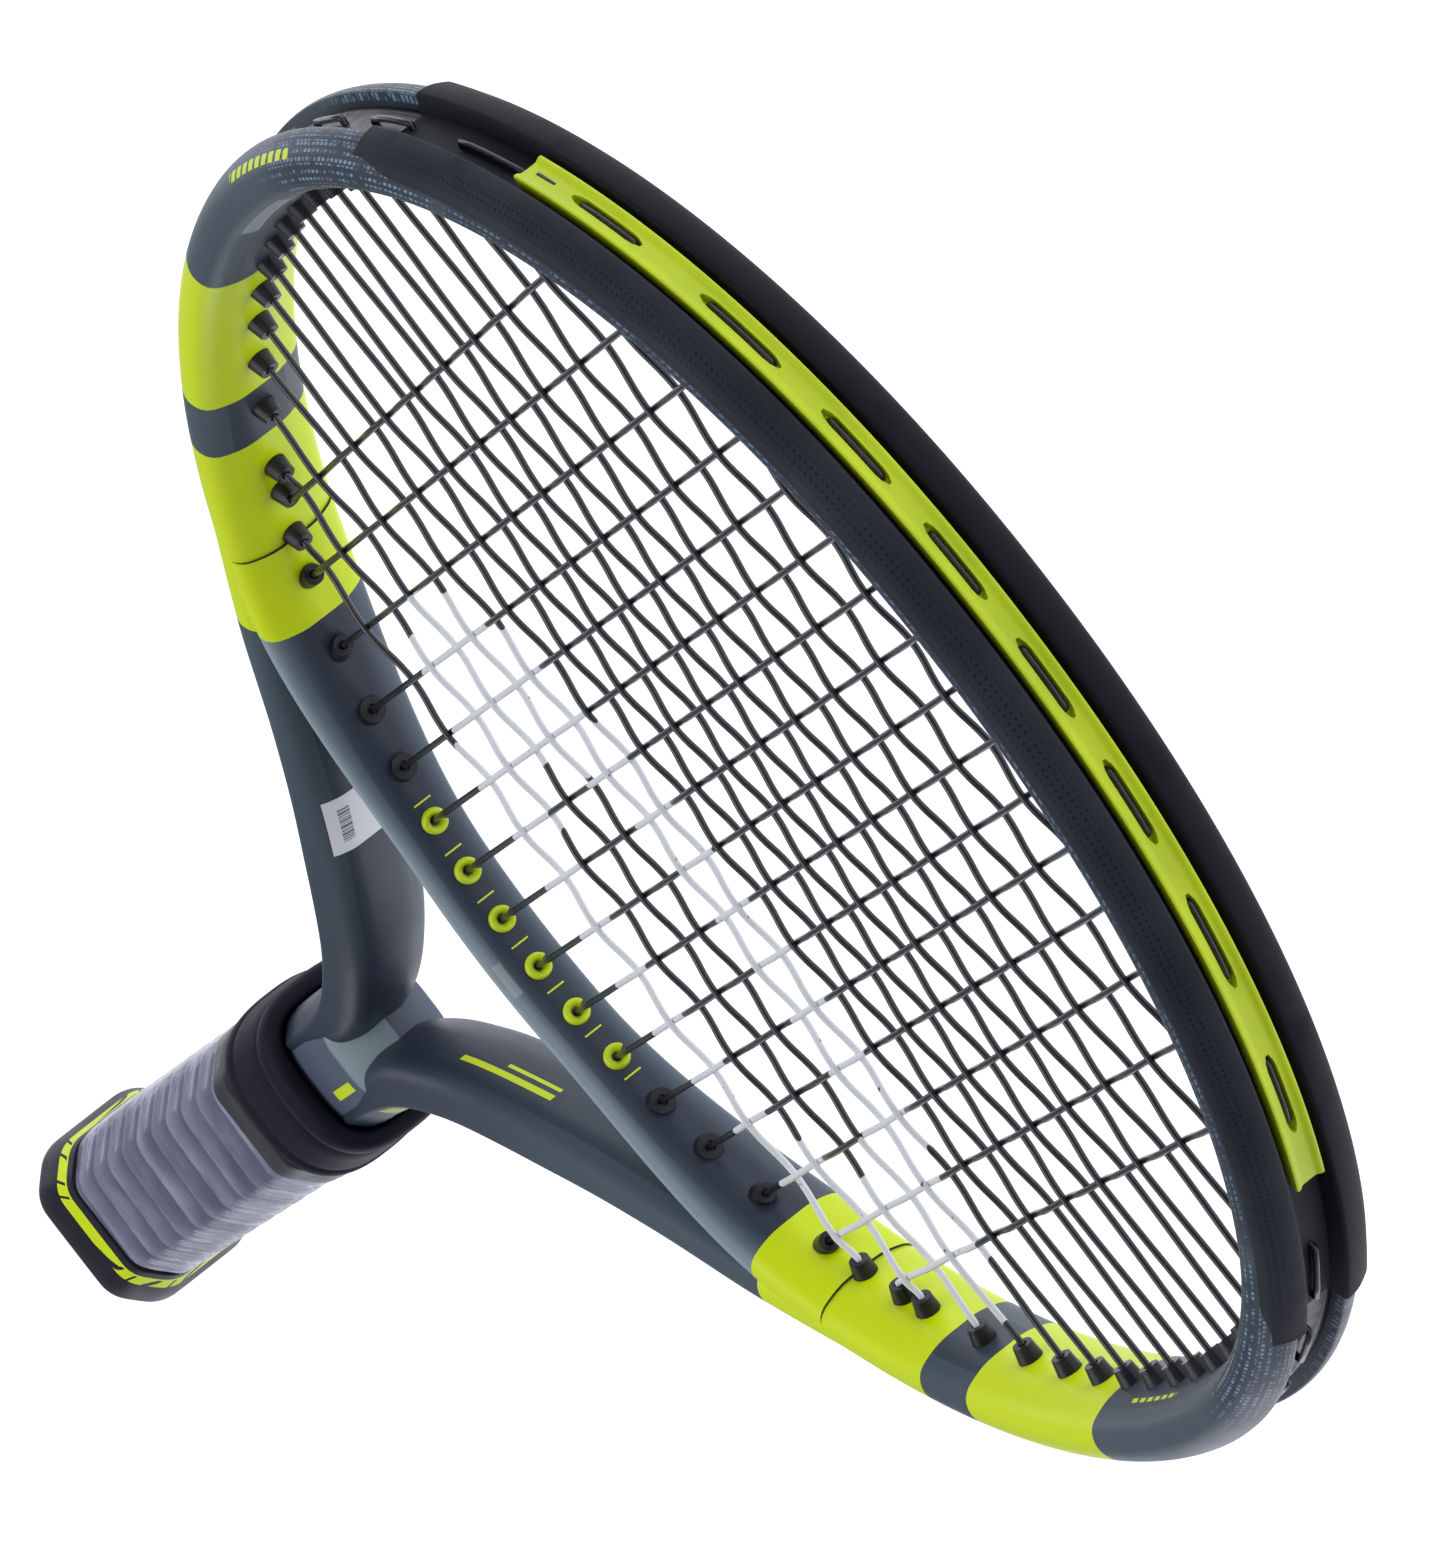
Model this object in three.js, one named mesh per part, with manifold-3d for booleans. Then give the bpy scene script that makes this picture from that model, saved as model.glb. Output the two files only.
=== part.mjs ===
// Tennis racket, strung, lying flat. Millimetres: +Y runs from the butt to the tip,
// X across the head, +Z out of one string face. The origin is the middle of the butt end face.
import * as THREE from 'three';
import { mergeVertices } from 'three/addons/utils/BufferGeometryUtils.js';
import Module from 'manifold-3d';

const wasm = await Module();
wasm.setup();

// ---- driving dimensions -------------------------------------------------------------------
const GAP = 0.3; // running gap between touching pieces
const TIP_Y = 677.1; // hoop centreline at the tip
const WIDEST_Y = 525; // where the head is widest
const HEAD_HALF_WIDTH = 130.2; // hoop centreline
const BRIDGE_Y = 341.5; // bridge centreline in the middle
const TIP_FULLNESS = 2.06; // superellipse exponents of the egg-shaped head
const THROAT_FULLNESS = 1.95;
const TUBE_R = 5.7; // half of the tube's width in the string plane
const GROOVE_DEPTH = 3.9; // string groove round the outside of the hoop
const GROOVE_HALF = 4.6;
const STRING_R = 0.65;
const WEAVE = 1.4; // how far a cross string rises over a main
const HOLE_R = 2.5;
const BARREL_R = 2.15;
const BORE_R = 1.15;
const BUTT_CAP_LENGTH = 24;
const PALLET_HALF = [15.4, 13.9];
const PALLET_BEVEL = 6;
const GRIP_START = 24.5;
const GRIP_END = 179;
const GRIP_TURNS = 9;
const COLLAR_Y = [180, 212];

const COLOURS = {
  paint: [0x34445a, 0.35, 0.2],
  bumper: [0x23252b, 0.8, 0],
  lime: [0xc6e01a, 0.45, 0],
  black: [0x17181c, 0.35, 0],
  string: [0x202127, 0.3, 0],
  foam: [0x8d8f86, 0.9, 0],
  steel: [0xb9bcc0, 0.3, 0.9],
  grip: [0x3a3d50, 0.45, 0],
  rubber: [0x1d1d24, 0.7, 0],
  film: [0xc9cbe0, 0.1, 0],
  paper: [0xf0f0ee, 0.7, 0],
  tape: [0x22222a, 0.5, 0],
};

// ---- solids -------------------------------------------------------------------------------
const solidOf = (geometry) => {
  const g = geometry.clone();
  g.deleteAttribute('normal');
  g.deleteAttribute('uv');
  const m = mergeVertices(g, 1e-4);
  const index = Uint32Array.from(m.index.array);
  const points = Float32Array.from(m.attributes.position.array);
  return new wasm.Manifold(new wasm.Mesh({ numProp: 3, vertProperties: points, triVerts: index }));
};

const geometryOf = (solid) => {
  const mesh = solid.getMesh();
  const g = new THREE.BufferGeometry();
  g.setAttribute('position', new THREE.BufferAttribute(Float32Array.from(mesh.vertProperties), 3));
  g.setIndex(new THREE.BufferAttribute(Uint32Array.from(mesh.triVerts), 1));
  g.computeVertexNormals();
  return g;
};

// Skin over a row of rings with the same number of points, closed with a flat cap at each end.
const loft = (rings) => {
  const n = rings[0].length;
  const positions = rings.flat().flatMap((v) => [v.x, v.y, v.z]);
  const index = [];
  for (let i = 0; i + 1 < rings.length; i += 1) {
    for (let j = 0; j < n; j += 1) {
      const a = i * n + j;
      const b = i * n + ((j + 1) % n);
      index.push(a, b, b + n, a, b + n, a + n);
    }
  }
  const cap = (ring, base, flip) => {
    const middle = ring.reduce((s, v) => s.add(v), new THREE.Vector3()).divideScalar(n);
    const e1 = new THREE.Vector3().subVectors(ring[0], middle).normalize();
    const area = new THREE.Vector3();
    for (let j = 0; j < n; j += 1) {
      const p = new THREE.Vector3().subVectors(ring[j], middle);
      const q = new THREE.Vector3().subVectors(ring[(j + 1) % n], middle);
      area.add(p.cross(q));
    }
    const e2 = new THREE.Vector3().crossVectors(area.normalize(), e1);
    const flat = ring.map((v) => {
      const d = new THREE.Vector3().subVectors(v, middle);
      return new THREE.Vector2(d.dot(e1), d.dot(e2));
    });
    for (const [p, q, r] of THREE.ShapeUtils.triangulateShape(flat, [])) {
      if (flip) index.push(base + p, base + r, base + q);
      else index.push(base + p, base + q, base + r);
    }
  };
  cap(rings[0], 0, true);
  cap(rings[rings.length - 1], (rings.length - 1) * n, false);
  const g = new THREE.BufferGeometry();
  g.setAttribute('position', new THREE.Float32BufferAttribute(positions, 3));
  g.setIndex(index);
  let volume = 0;
  const v = (k) => new THREE.Vector3().fromArray(positions, 3 * k);
  for (let k = 0; k < index.length; k += 3) {
    volume += v(index[k]).dot(v(index[k + 1]).cross(v(index[k + 2])));
  }
  if (volume < 0) {
    for (let k = 0; k < index.length; k += 3) {
      [index[k + 1], index[k + 2]] = [index[k + 2], index[k + 1]];
    }
    g.setIndex(index);
  }
  g.computeVertexNormals();
  return g;
};

const ringAt = (y, outline) => outline.map(([x, z]) => new THREE.Vector3(x, y, z));

const octagon = (wx, wz, bevel) => [
  [wx, -wz + bevel], [wx, wz - bevel], [wx - bevel, wz], [-wx + bevel, wz],
  [-wx, wz - bevel], [-wx, -wz + bevel], [-wx + bevel, -wz], [wx - bevel, -wz],
];

// An octagon moved outwards by d all round keeps its bevels parallel.
const grownOctagon = (d) => octagon(PALLET_HALF[0] + d, PALLET_HALF[1] + d, PALLET_BEVEL + 0.586 * d);

const superellipse = (a, b, power, count) => {
  const points = [];
  for (let i = 0; i < count; i += 1) {
    const t = (2 * Math.PI * (i + 0.5)) / count;
    const c = Math.cos(t);
    const s = Math.sin(t);
    const x = Math.sign(c) * a * Math.abs(c) ** (2 / power);
    const z = Math.sign(s) * b * Math.abs(s) ** (2 / power);
    points.push([x, z]);
  }
  return points;
};

const prismAlongY = (outline, y0, y1) => loft([ringAt(y0, outline), ringAt(y1, outline)]);

const block = (x0, x1, y0, y1, z0, z1) => {
  const g = new THREE.BoxGeometry(x1 - x0, y1 - y0, z1 - z0);
  g.translate((x0 + x1) / 2, (y0 + y1) / 2, (z0 + z1) / 2);
  return g;
};

// Round bar between two points.
const bar = (from, to, radius0, radius1 = radius0, sides = 6) => {
  const d = new THREE.Vector3().subVectors(to, from);
  const g = new THREE.CylinderGeometry(radius1, radius0, d.length(), sides, 1);
  g.translate(0, d.length() / 2, 0);
  g.applyQuaternion(new THREE.Quaternion().setFromUnitVectors(new THREE.Vector3(0, 1, 0), d.normalize()));
  g.translate(from.x, from.y, from.z);
  return g;
};

// ---- centrelines --------------------------------------------------------------------------
const eggTop = (t) => new THREE.Vector2(
  HEAD_HALF_WIDTH * Math.cos(t) ** (2 / TIP_FULLNESS),
  WIDEST_Y + (TIP_Y - WIDEST_Y) * Math.sin(t) ** (2 / TIP_FULLNESS),
);
const eggBottom = (t) => new THREE.Vector2(
  HEAD_HALF_WIDTH * Math.cos(t) ** (2 / THROAT_FULLNESS),
  WIDEST_Y - (WIDEST_Y - BRIDGE_Y) * Math.sin(t) ** (2 / THROAT_FULLNESS),
);
const SPLIT_T = 0.8; // angle on the lower egg where a shaft leaves the head

// Right shaft: parallel in the handle, fanning out above the neck.
const shaft = new THREE.SplineCurve([
  new THREE.Vector2(7.4, 5), new THREE.Vector2(7.4, 60), new THREE.Vector2(7.4, 120),
  new THREE.Vector2(7.4, 180), new THREE.Vector2(7.4, 224), new THREE.Vector2(9.2, 246),
  new THREE.Vector2(14, 265), new THREE.Vector2(22, 285), new THREE.Vector2(39.5, 318),
  new THREE.Vector2(54.5, 341), new THREE.Vector2(72.5, 366), eggBottom(SPLIT_T),
]);

const dense = [];
for (let i = 0; i < 240; i += 1) dense.push(shaft.getPoint(i / 240));
for (let i = 0; i <= 120; i += 1) dense.push(eggBottom(SPLIT_T * (1 - i / 120)));
for (let i = 1; i <= 200; i += 1) dense.push(eggTop((Math.PI / 2) * (i / 200)));
for (let i = dense.length - 2; i >= 0; i -= 1) dense.push(new THREE.Vector2(-dense[i].x, dense[i].y));

const lower = [];
for (let i = 0; i <= 200; i += 1) lower.push(eggBottom(0.72 + (Math.PI / 2 - 0.72) * (i / 200)));
for (let i = lower.length - 2; i >= 0; i -= 1) lower.push(new THREE.Vector2(-lower[i].x, lower[i].y));

// A centreline measured by distance along it; `side` is +1 when outward is to the right of travel.
const track = (points, side) => {
  const total = [0];
  for (let i = 1; i < points.length; i += 1) {
    total.push(total[i - 1] + points[i].distanceTo(points[i - 1]));
  }
  const length = total[total.length - 1];
  const point = (s) => {
    const c = Math.min(Math.max(s, 0), length);
    let lo = 0;
    let hi = total.length - 1;
    while (hi - lo > 1) {
      const mid = (lo + hi) >> 1;
      if (total[mid] <= c) lo = mid;
      else hi = mid;
    }
    return points[lo].clone().lerp(points[hi], (c - total[lo]) / (total[hi] - total[lo]));
  };
  const normal = (s) => {
    const t = point(s + 2).sub(point(s - 2)).normalize();
    return new THREE.Vector2(side * t.y, -side * t.x);
  };
  const off = (s, u) => point(s).addScaledVector(normal(s), u);
  return { length, point, normal, off };
};
const frame = track(dense, 1);
const bridge = track(lower, -1);
const MIDDLE = frame.length / 2; // the tip

// Distance along a track where a test value crosses zero between two distances.
const solve = (test, s0, s1) => {
  let lo = s0;
  let hi = s1;
  const rising = test(hi) > test(lo);
  for (let i = 0; i < 50; i += 1) {
    const mid = (lo + hi) / 2;
    if (test(mid) > 0 === rising) hi = mid;
    else lo = mid;
  }
  return (lo + hi) / 2;
};
const rightWhereY = (y, u = 0) => solve((s) => frame.off(s, u).y - y, 0, MIDDLE);
const rightWhereX = (x, u = 0) => solve((s) => frame.off(s, u).x - x, MIDDLE, rightWhereY(WIDEST_Y));
const NECK_END = rightWhereY(224);
const SPLIT = rightWhereY(372);

// ---- sections of the moulded tube ---------------------------------------------------------
const blendBetween = (x, x0, x1) => THREE.MathUtils.smoothstep(x, x0, x1);
const alongHalf = (s) => Math.min(s, frame.length - s);
const halfBeam = (s) => {
  const y = frame.point(s).y;
  if (y < WIDEST_Y - 130) return 10.9 + 0.9 * blendBetween(y, 215, 330);
  return 11.8 - 0.6 * blendBetween(y, 430, 660);
};
const halfWidth = (s) => {
  const y = frame.point(s).y;
  return TUBE_R + 0.5 - 0.9 * blendBetween(y, 224, 270) + 0.4 * blendBetween(y, 320, 390);
};
const grooveDepth = (s) => GROOVE_DEPTH * blendBetween(alongHalf(s), rightWhereY(318), rightWhereY(342));

// Section as [outward, up] pairs: blunt inside, full crown, string groove on the outside.
const tubeSection = (r, h, depth, grow = 0) => {
  const upper = [
    [-r, 0.32 * h], [-0.83 * r, 0.7 * h], [-0.42 * r, 0.95 * h], [0.12 * r, h],
    [0.6 * r, 0.9 * h], [0.9 * r, 0.68 * h], [r, GROOVE_HALF + 0.6], [r - depth, GROOVE_HALF],
  ];
  const ring = [...upper, ...upper.map(([u, z]) => [u, -z]).reverse()];
  if (grow === 0) return ring;
  const k = (r + grow) / r;
  const m = (h + grow) / h;
  return ring.map(([u, z]) => [u < 0 ? u * k : u + grow, z * m]);
};

const placed = (line, s, outline) => {
  const c = line.point(s);
  const n = line.normal(s);
  return outline.map(([u, z]) => new THREE.Vector3(c.x + n.x * u, c.y + n.y * u, z));
};

const stations = (s0, s1, step) => {
  const count = Math.max(1, Math.ceil((s1 - s0) / step));
  const list = [];
  for (let i = 0; i <= count; i += 1) list.push(s0 + ((s1 - s0) * i) / count);
  return list;
};

const tubeStations = [
  0,
  ...stations(NECK_END, MIDDLE, 12.5),
  ...stations(MIDDLE, frame.length - NECK_END, 12.5).slice(1),
  frame.length,
];
const tube = (grow, list = tubeStations) => loft(
  list.map((s) => placed(frame, s, tubeSection(halfWidth(s), halfBeam(s), grooveDepth(s), grow))),
);

// ---- string layout ------------------------------------------------------------------------
const mainX = (i) => 10.25 * i + 0.0034 * i ** 4; // i = 0.5 ... 7.5 from the middle
const crossY = (k) => 519.3 + 11.2 * k - 0.0407 * k ** 2 + 0.0284 * k ** 3; // k = -9 ... 9
const FACE_LOW = 2.9; // outer face of the grommet strips, from the centreline
const FACE_HIGH = 4.4; // floor of the slots in the head strip
const FACE_BUMPER = 3.3; // floor of the bumper's channel
const BEND = 3.4; // how far inside the wall a string straightens out
const LOOP = STRING_R + 0.3;

// One string hole: where it opens on the inner wall and where it ends on the outside.
const straightHole = (s, face, mirror) => {
  const inner = frame.off(s, -halfWidth(s));
  const outer = frame.off(s, face);
  return { s, inner, outer, face, side: mirror, line: 'frame' };
};
const flipped = (h) => ({
  ...h,
  s: frame.length - h.s,
  inner: new THREE.Vector2(-h.inner.x, h.inner.y),
  outer: new THREE.Vector2(-h.outer.x, h.outer.y),
  side: -h.side,
});

// The outermost main turns in a little above the last full cross, clear of the top cross's hole.
const OUTER_MAIN_TURN = 622;
const tipHole = (i) => (
  straightHole(rightWhereX(i === 7.5 ? 82 : mainX(i), -TUBE_R - BEND), FACE_HIGH, 1)
);
const crossHole = (k) => {
  const y = k === 9 ? 628.5 : crossY(k) + (k === -9 ? 1 : 0);
  const s = rightWhereY(y, -TUBE_R - BEND);
  if (k === 9) return straightHole(s, FACE_HIGH, 1);
  return straightHole(s, s < rightWhereY(590) ? FACE_LOW : FACE_BUMPER, 1);
};
const BRIDGE_R = 5.2;
const bridgeWhereX = (x) => solve((s) => bridge.off(s, -BRIDGE_R - BEND).x - x, bridge.length / 2, 0);
const throatHole = (i) => {
  if (i === 7.5) return straightHole(rightWhereY(404.5, -TUBE_R), FACE_LOW, 1);
  const b = bridgeWhereX(mainX(i));
  const inner = bridge.off(b, -BRIDGE_R);
  if (i < 5) {
    const out = solve((q) => bridge.off(q, BRIDGE_R + 1.5).x - 1.04 * mainX(i), bridge.length / 2, 0);
    return { s: out, wall: b, inner, outer: bridge.off(out, BRIDGE_R + 1.5), side: 1, line: 'bridge' };
  }
  const s = solve((q) => frame.off(q, FACE_LOW).x - (i === 5.5 ? 62 : 78), 0, rightWhereY(400));
  return { s, inner, outer: frame.off(s, FACE_LOW), face: FACE_LOW + 0.85, side: 1, line: 'frame' };
};

const halves = [];
for (let i = 0.5; i < 8; i += 1) halves.push(i);
const rows = [];
for (let k = 9; k >= -9; k -= 1) rows.push(k);
const tipHoles = halves.map(tipHole);
const throatHoles = halves.map(throatHole);
const crossHoles = rows.map(crossHole);
const both = (list) => [...list, ...list.map(flipped)];

const at3 = (v, z = 0) => new THREE.Vector3(v.x, v.y, z);
const holeAxis = (h) => new THREE.Vector2().subVectors(h.outer, h.inner).normalize();
const drill = (h, inside = 3, outside = 8, radius = HOLE_R) => {
  const d = holeAxis(h);
  return solidOf(bar(
    at3(h.inner.clone().addScaledVector(d, -inside)),
    at3(h.outer.clone().addScaledVector(d, outside)),
    radius,
  ));
};

const drilled = (solid, holes, radius = HOLE_R, outside = 8) => (
  wasm.Manifold.difference([solid, ...holes.map((h) => drill(h, 4, outside, radius))])
);

// ---- pieces -------------------------------------------------------------------------------
const pieces = [];
const add = (name, geometry, [colour, roughness, metalness]) => {
  const material = new THREE.MeshStandardMaterial({ color: colour, roughness, metalness });
  const mesh = new THREE.Mesh(geometry, material);
  mesh.name = name;
  pieces.push(mesh);
  return mesh;
};

// Moulded hairpin tube: two shafts and the hoop in one length, with the web between the
// shafts at the neck. Its front is chamfered where the throat opens.
const webOutline = new THREE.Shape([
  new THREE.Vector2(150, -10.9), new THREE.Vector2(234, -10.9), new THREE.Vector2(239, -7),
  new THREE.Vector2(239, 5), new THREE.Vector2(229, 10.9), new THREE.Vector2(150, 10.9),
]);
const webGeometry = new THREE.ExtrudeGeometry(webOutline, { depth: 14.8, bevelEnabled: false });
webGeometry.translate(0, 0, -7.4);
webGeometry.applyMatrix4(new THREE.Matrix4().makeBasis(
  new THREE.Vector3(0, 1, 0), new THREE.Vector3(0, 0, 1), new THREE.Vector3(1, 0, 0),
));
const sideHoles = both([...crossHoles, ...throatHoles.filter((h) => h.line === 'frame')]);
const frameBody = solidOf(tube(0)).add(solidOf(webGeometry));
add('frame_tube', geometryOf(drilled(frameBody, [...both(tipHoles), ...sideHoles])), COLOURS.paint);

// Bridge closing the head above the throat, cut to sit against the tube on both sides.
const bridgeSection = (s) => {
  const end = Math.abs(bridge.point(s).x) / 75;
  const r = BRIDGE_R + 0.4 * end ** 2;
  const h = 7 + 3.6 * Math.min(end, 1) ** 2;
  const upper = [[-r, 0.4 * h], [-0.8 * r, 0.82 * h], [-0.2 * r, h], [0.5 * r, 0.9 * h], [r, 0.45 * h]];
  return [...upper, ...upper.map(([u, z]) => [u, -z]).reverse()];
};
const bridgeBody = loft(stations(0, bridge.length, 9).map((s) => placed(bridge, s, bridgeSection(s))));
const clearTube = solidOf(tube(GAP));
// Only the span between the shafts is kept: the stubs past the tube are cut away.
const largest = (solid) => solid.decompose().sort((a, b) => b.volume() - a.volume())[0];
const bridgeCut = largest(solidOf(bridgeBody).subtract(clearTube));
const bridgeHolesCut = both([...throatHoles.slice(0, 7), crossHoles[rows.length - 1]]);
add('throat_bridge', geometryOf(drilled(bridgeCut, bridgeHolesCut)), COLOURS.paint);

// Tapered tube that a string passes through, from outside the frame to just inside the wall.
const barrel = (h, proud = 2.4) => {
  const d = holeAxis(h);
  const start = h.outer.clone().addScaledVector(d, -0.5);
  const finish = h.inner.clone().addScaledVector(d, -proud);
  return solidOf(bar(at3(start), at3(finish), BARREL_R, BARREL_R - 0.35));
};
const bores = (solid, holes) => drilled(solid, holes, BORE_R, 3);

// A band that follows the outside of the hoop between two distances.
const band = (s0, s1, outline, step = 12.5) => loft(stations(s0, s1, step).map((s) => placed(frame, s, outline)));
const rectangle = (u0, u1, half) => [[u0, half], [u1, half], [u1, -half], [u0, -half]];

// Side grommet strips: thin band in the groove with a barrel for every string hole.
const bumperStart = rightWhereY(590);
const stripStart = rightWhereX(64, -TUBE_R);
const sideStart = solve((q) => frame.point(q).x - 58, 0, rightWhereY(400));
const sideStripHoles = [
  ...crossHoles.filter((h) => h.s < bumperStart),
  ...throatHoles.filter((h) => h.line === 'frame'),
];
const sideStrip = (right) => {
  const s0 = sideStart;
  const s1 = bumperStart - 1.5;
  const outline = rectangle(FACE_LOW - 0.8, FACE_LOW, GROOVE_HALF - GAP);
  const base = right ? band(s0, s1, outline) : band(frame.length - s1, frame.length - s0, outline);
  const holes = right ? sideStripHoles : sideStripHoles.map(flipped);
  return bores(wasm.Manifold.union([solidOf(base), ...holes.map((h) => barrel(h))]), holes);
};
add('side_grommet_strip_right', geometryOf(sideStrip(true)), COLOURS.black);
add('side_grommet_strip_left', geometryOf(sideStrip(false)), COLOURS.black);

// Bumper guard: channel that wraps the outer edge of the tip and lines its groove.
const openOffset = (line, d) => line.map((p, i) => {
  const a = line[Math.max(i - 1, 0)];
  const b = line[Math.min(i + 1, line.length - 1)];
  const e0 = new THREE.Vector2(p[0] - a[0], p[1] - a[1]).normalize();
  const e1 = new THREE.Vector2(b[0] - p[0], b[1] - p[1]).normalize();
  if (i === 0) e0.copy(e1);
  if (i === line.length - 1) e1.copy(e0);
  const n = new THREE.Vector2(e0.y + e1.y, -e0.x - e1.x).normalize();
  const mitre = Math.max(0.5, n.dot(new THREE.Vector2(e0.y, -e0.x)));
  return [p[0] + (n.x * d) / mitre, p[1] + (n.y * d) / mitre];
});
const bumperSection = (s) => {
  const r = halfWidth(s);
  const h = halfBeam(s);
  const upper = [
    [0.6 * r, 0.9 * h], [0.9 * r, 0.68 * h], [r, GROOVE_HALF + 0.6], [r - GROOVE_DEPTH, GROOVE_HALF],
  ];
  const line = [...upper, ...upper.map(([u, z]) => [u, -z]).reverse()];
  const inner = openOffset(line, -GAP);
  const outer = openOffset(line, -(GAP + 1.1));
  return [...inner, ...outer.reverse()];
};
const bumperBody = loft(stations(bumperStart, frame.length - bumperStart, 11).map(
  (s) => placed(frame, s, bumperSection(s)),
));
const bumperHoles = both(crossHoles.filter((h) => h.face === FACE_BUMPER));
const throughBumper = both([...tipHoles, ...crossHoles.filter((h) => h.face === FACE_HIGH)]);
const withBarrels = wasm.Manifold.union([solidOf(bumperBody), ...bumperHoles.map((h) => barrel(h))]);
add('bumper_guard', geometryOf(drilled(bores(withBarrels, bumperHoles), throughBumper)), COLOURS.bumper);

// Head grommet strip: raised band in the bumper's channel. Each pair of main strings turns
// back inside a slot.
const limeStart = rightWhereX(101, TUBE_R);
const channelHalf = 2.8;
const limeBase = solidOf(band(limeStart, frame.length - limeStart, rectangle(3.65, 6.9, channelHalf), 11));
const slot = (s0, s1) => solidOf(band(s0, s1, rectangle(FACE_HIGH, 9, 1.5), 11));
const slots = [];
for (let i = 0; i < 8; i += 2) {
  const a = tipHoles[i + 1].s - 2.6;
  const b = tipHoles[i].s + 2.6;
  slots.push(slot(a, b), slot(frame.length - b, frame.length - a));
}
const lastCross = crossHoles[0].s;
slots.push(slot(limeStart - 3, lastCross + 2.6));
slots.push(slot(frame.length - lastCross - 2.6, frame.length - limeStart + 3));
const limeBarrels = throughBumper.map((h) => barrel(h));
const limeBody = wasm.Manifold.difference([wasm.Manifold.union([limeBase, ...limeBarrels]), ...slots]);
add('head_grommet_strip', geometryOf(bores(limeBody, throughBumper)), COLOURS.lime);

// Throat grommet strip: band on the throat side of the bridge with barrels through it.
const bridgeHoles = throatHoles.filter((h) => h.line === 'bridge');
const flipBridge = (h) => ({ ...flipped(h), s: bridge.length - h.s, wall: bridge.length - h.wall });
const allBridgeHoles = [...bridgeHoles, ...bridgeHoles.map(flipBridge)];
const bridgeEnd = bridgeHoles[4].s - 3.5;
const throatBand = loft(stations(bridgeEnd, bridge.length - bridgeEnd, 9).map(
  (s) => placed(bridge, s, rectangle(BRIDGE_R + 0.75, BRIDGE_R + 1.5, 2.6)),
));
const throatBarrel = (h, i) => barrel(h, i % 5 < 3 ? -1.2 : 1.6);
const throatWhole = wasm.Manifold.union([solidOf(throatBand), ...allBridgeHoles.map(throatBarrel)]);
const throatBody = largest(throatWhole.subtract(clearTube));
add('throat_grommet_strip', geometryOf(bores(throatBody, allBridgeHoles)), COLOURS.black);

// Wide-mouthed snap-in collars round the six middle mains, open on one side like a C.
allBridgeHoles.forEach((h, i) => {
  if (i % 5 > 2) return;
  const d = bridge.normal(h.wall);
  const from = h.inner.clone().addScaledVector(d, -GAP - 0.1);
  const to = h.inner.clone().addScaledVector(d, -2);
  const ring = solidOf(bar(at3(from), at3(to), 2.7, 2.4, 12));
  const deep = h.inner.clone().addScaledVector(d, 2);
  const clear = h.inner.clone().addScaledVector(d, -4);
  const bore = solidOf(bar(at3(deep), at3(clear), 1.4, 1.4, 8));
  const middle = h.inner.clone().addScaledVector(d, -1.1);
  const mouth = block(middle.x - 0.9, middle.x + 0.9, middle.y - 3, middle.y + 3, -5, 0);
  const side = h.side > 0 ? 'right' : 'left';
  const dished = ring.subtract(bore).subtract(solidOf(mouth));
  add(`spin_grommet_${side}_${(i % 5) + 1}`, geometryOf(dished), COLOURS.lime);
});

// ---- strings ------------------------------------------------------------------------------
const cord = (path, sides, knots = true) => loft(path.map((p, i) => {
  const a = path[Math.max(i - 1, 0)];
  const b = path[Math.min(i + 1, path.length - 1)];
  const t0 = new THREE.Vector3().subVectors(p, a).normalize();
  const t1 = new THREE.Vector3().subVectors(b, p).normalize();
  const t = t0.add(t1).normalize();
  const e1 = new THREE.Vector3().crossVectors(t, new THREE.Vector3(0, 0, 1)).normalize();
  const e2 = new THREE.Vector3().crossVectors(e1, t);
  const end = Math.min(i, path.length - 1 - i);
  const r = knots && (end === 1 || end === 2) ? STRING_R + 0.5 : STRING_R;
  const ring = [];
  for (let j = 0; j < sides; j += 1) {
    const q = (2 * Math.PI * j) / sides;
    ring.push(p.clone().addScaledVector(e1, r * Math.cos(q)).addScaledVector(e2, r * Math.sin(q)));
  }
  return ring;
}));

// Through a hole outwards: just inside the wall, then out to the level the loop runs at.
const outward = (h) => {
  const d = holeAxis(h);
  return [at3(h.inner.clone().addScaledVector(d, -BEND)), at3(h.outer.clone().addScaledVector(d, LOOP - 0.45))];
};
// Along the outside from one hole to the next, easing off each hole's corner.
const along = (line, a, b, level, rise) => {
  const points = [];
  const steps = Math.max(2, Math.round(Math.abs(b.s - a.s) / 8));
  for (let i = 0; i <= steps; i += 1) {
    const f = i === 0 ? 0.6 / steps / 4 : i === steps ? 1 - 0.6 / steps / 4 : i / steps;
    points.push(at3(line.off(a.s + (b.s - a.s) * f, level(f)), rise * Math.sin(Math.PI * f)));
  }
  return points;
};
const turn = (a, b, rise = 0) => {
  if (a.line === 'bridge') return along(bridge, a, b, () => BRIDGE_R + 1.5 + LOOP, rise);
  const drop = a.face > b.face ? 0.62 : 0;
  const share = (f) => Math.max(0, (f - drop) / (1 - drop));
  return along(frame, a, b, (f) => a.face + (b.face - a.face) * share(f) + LOOP, rise);
};

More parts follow.
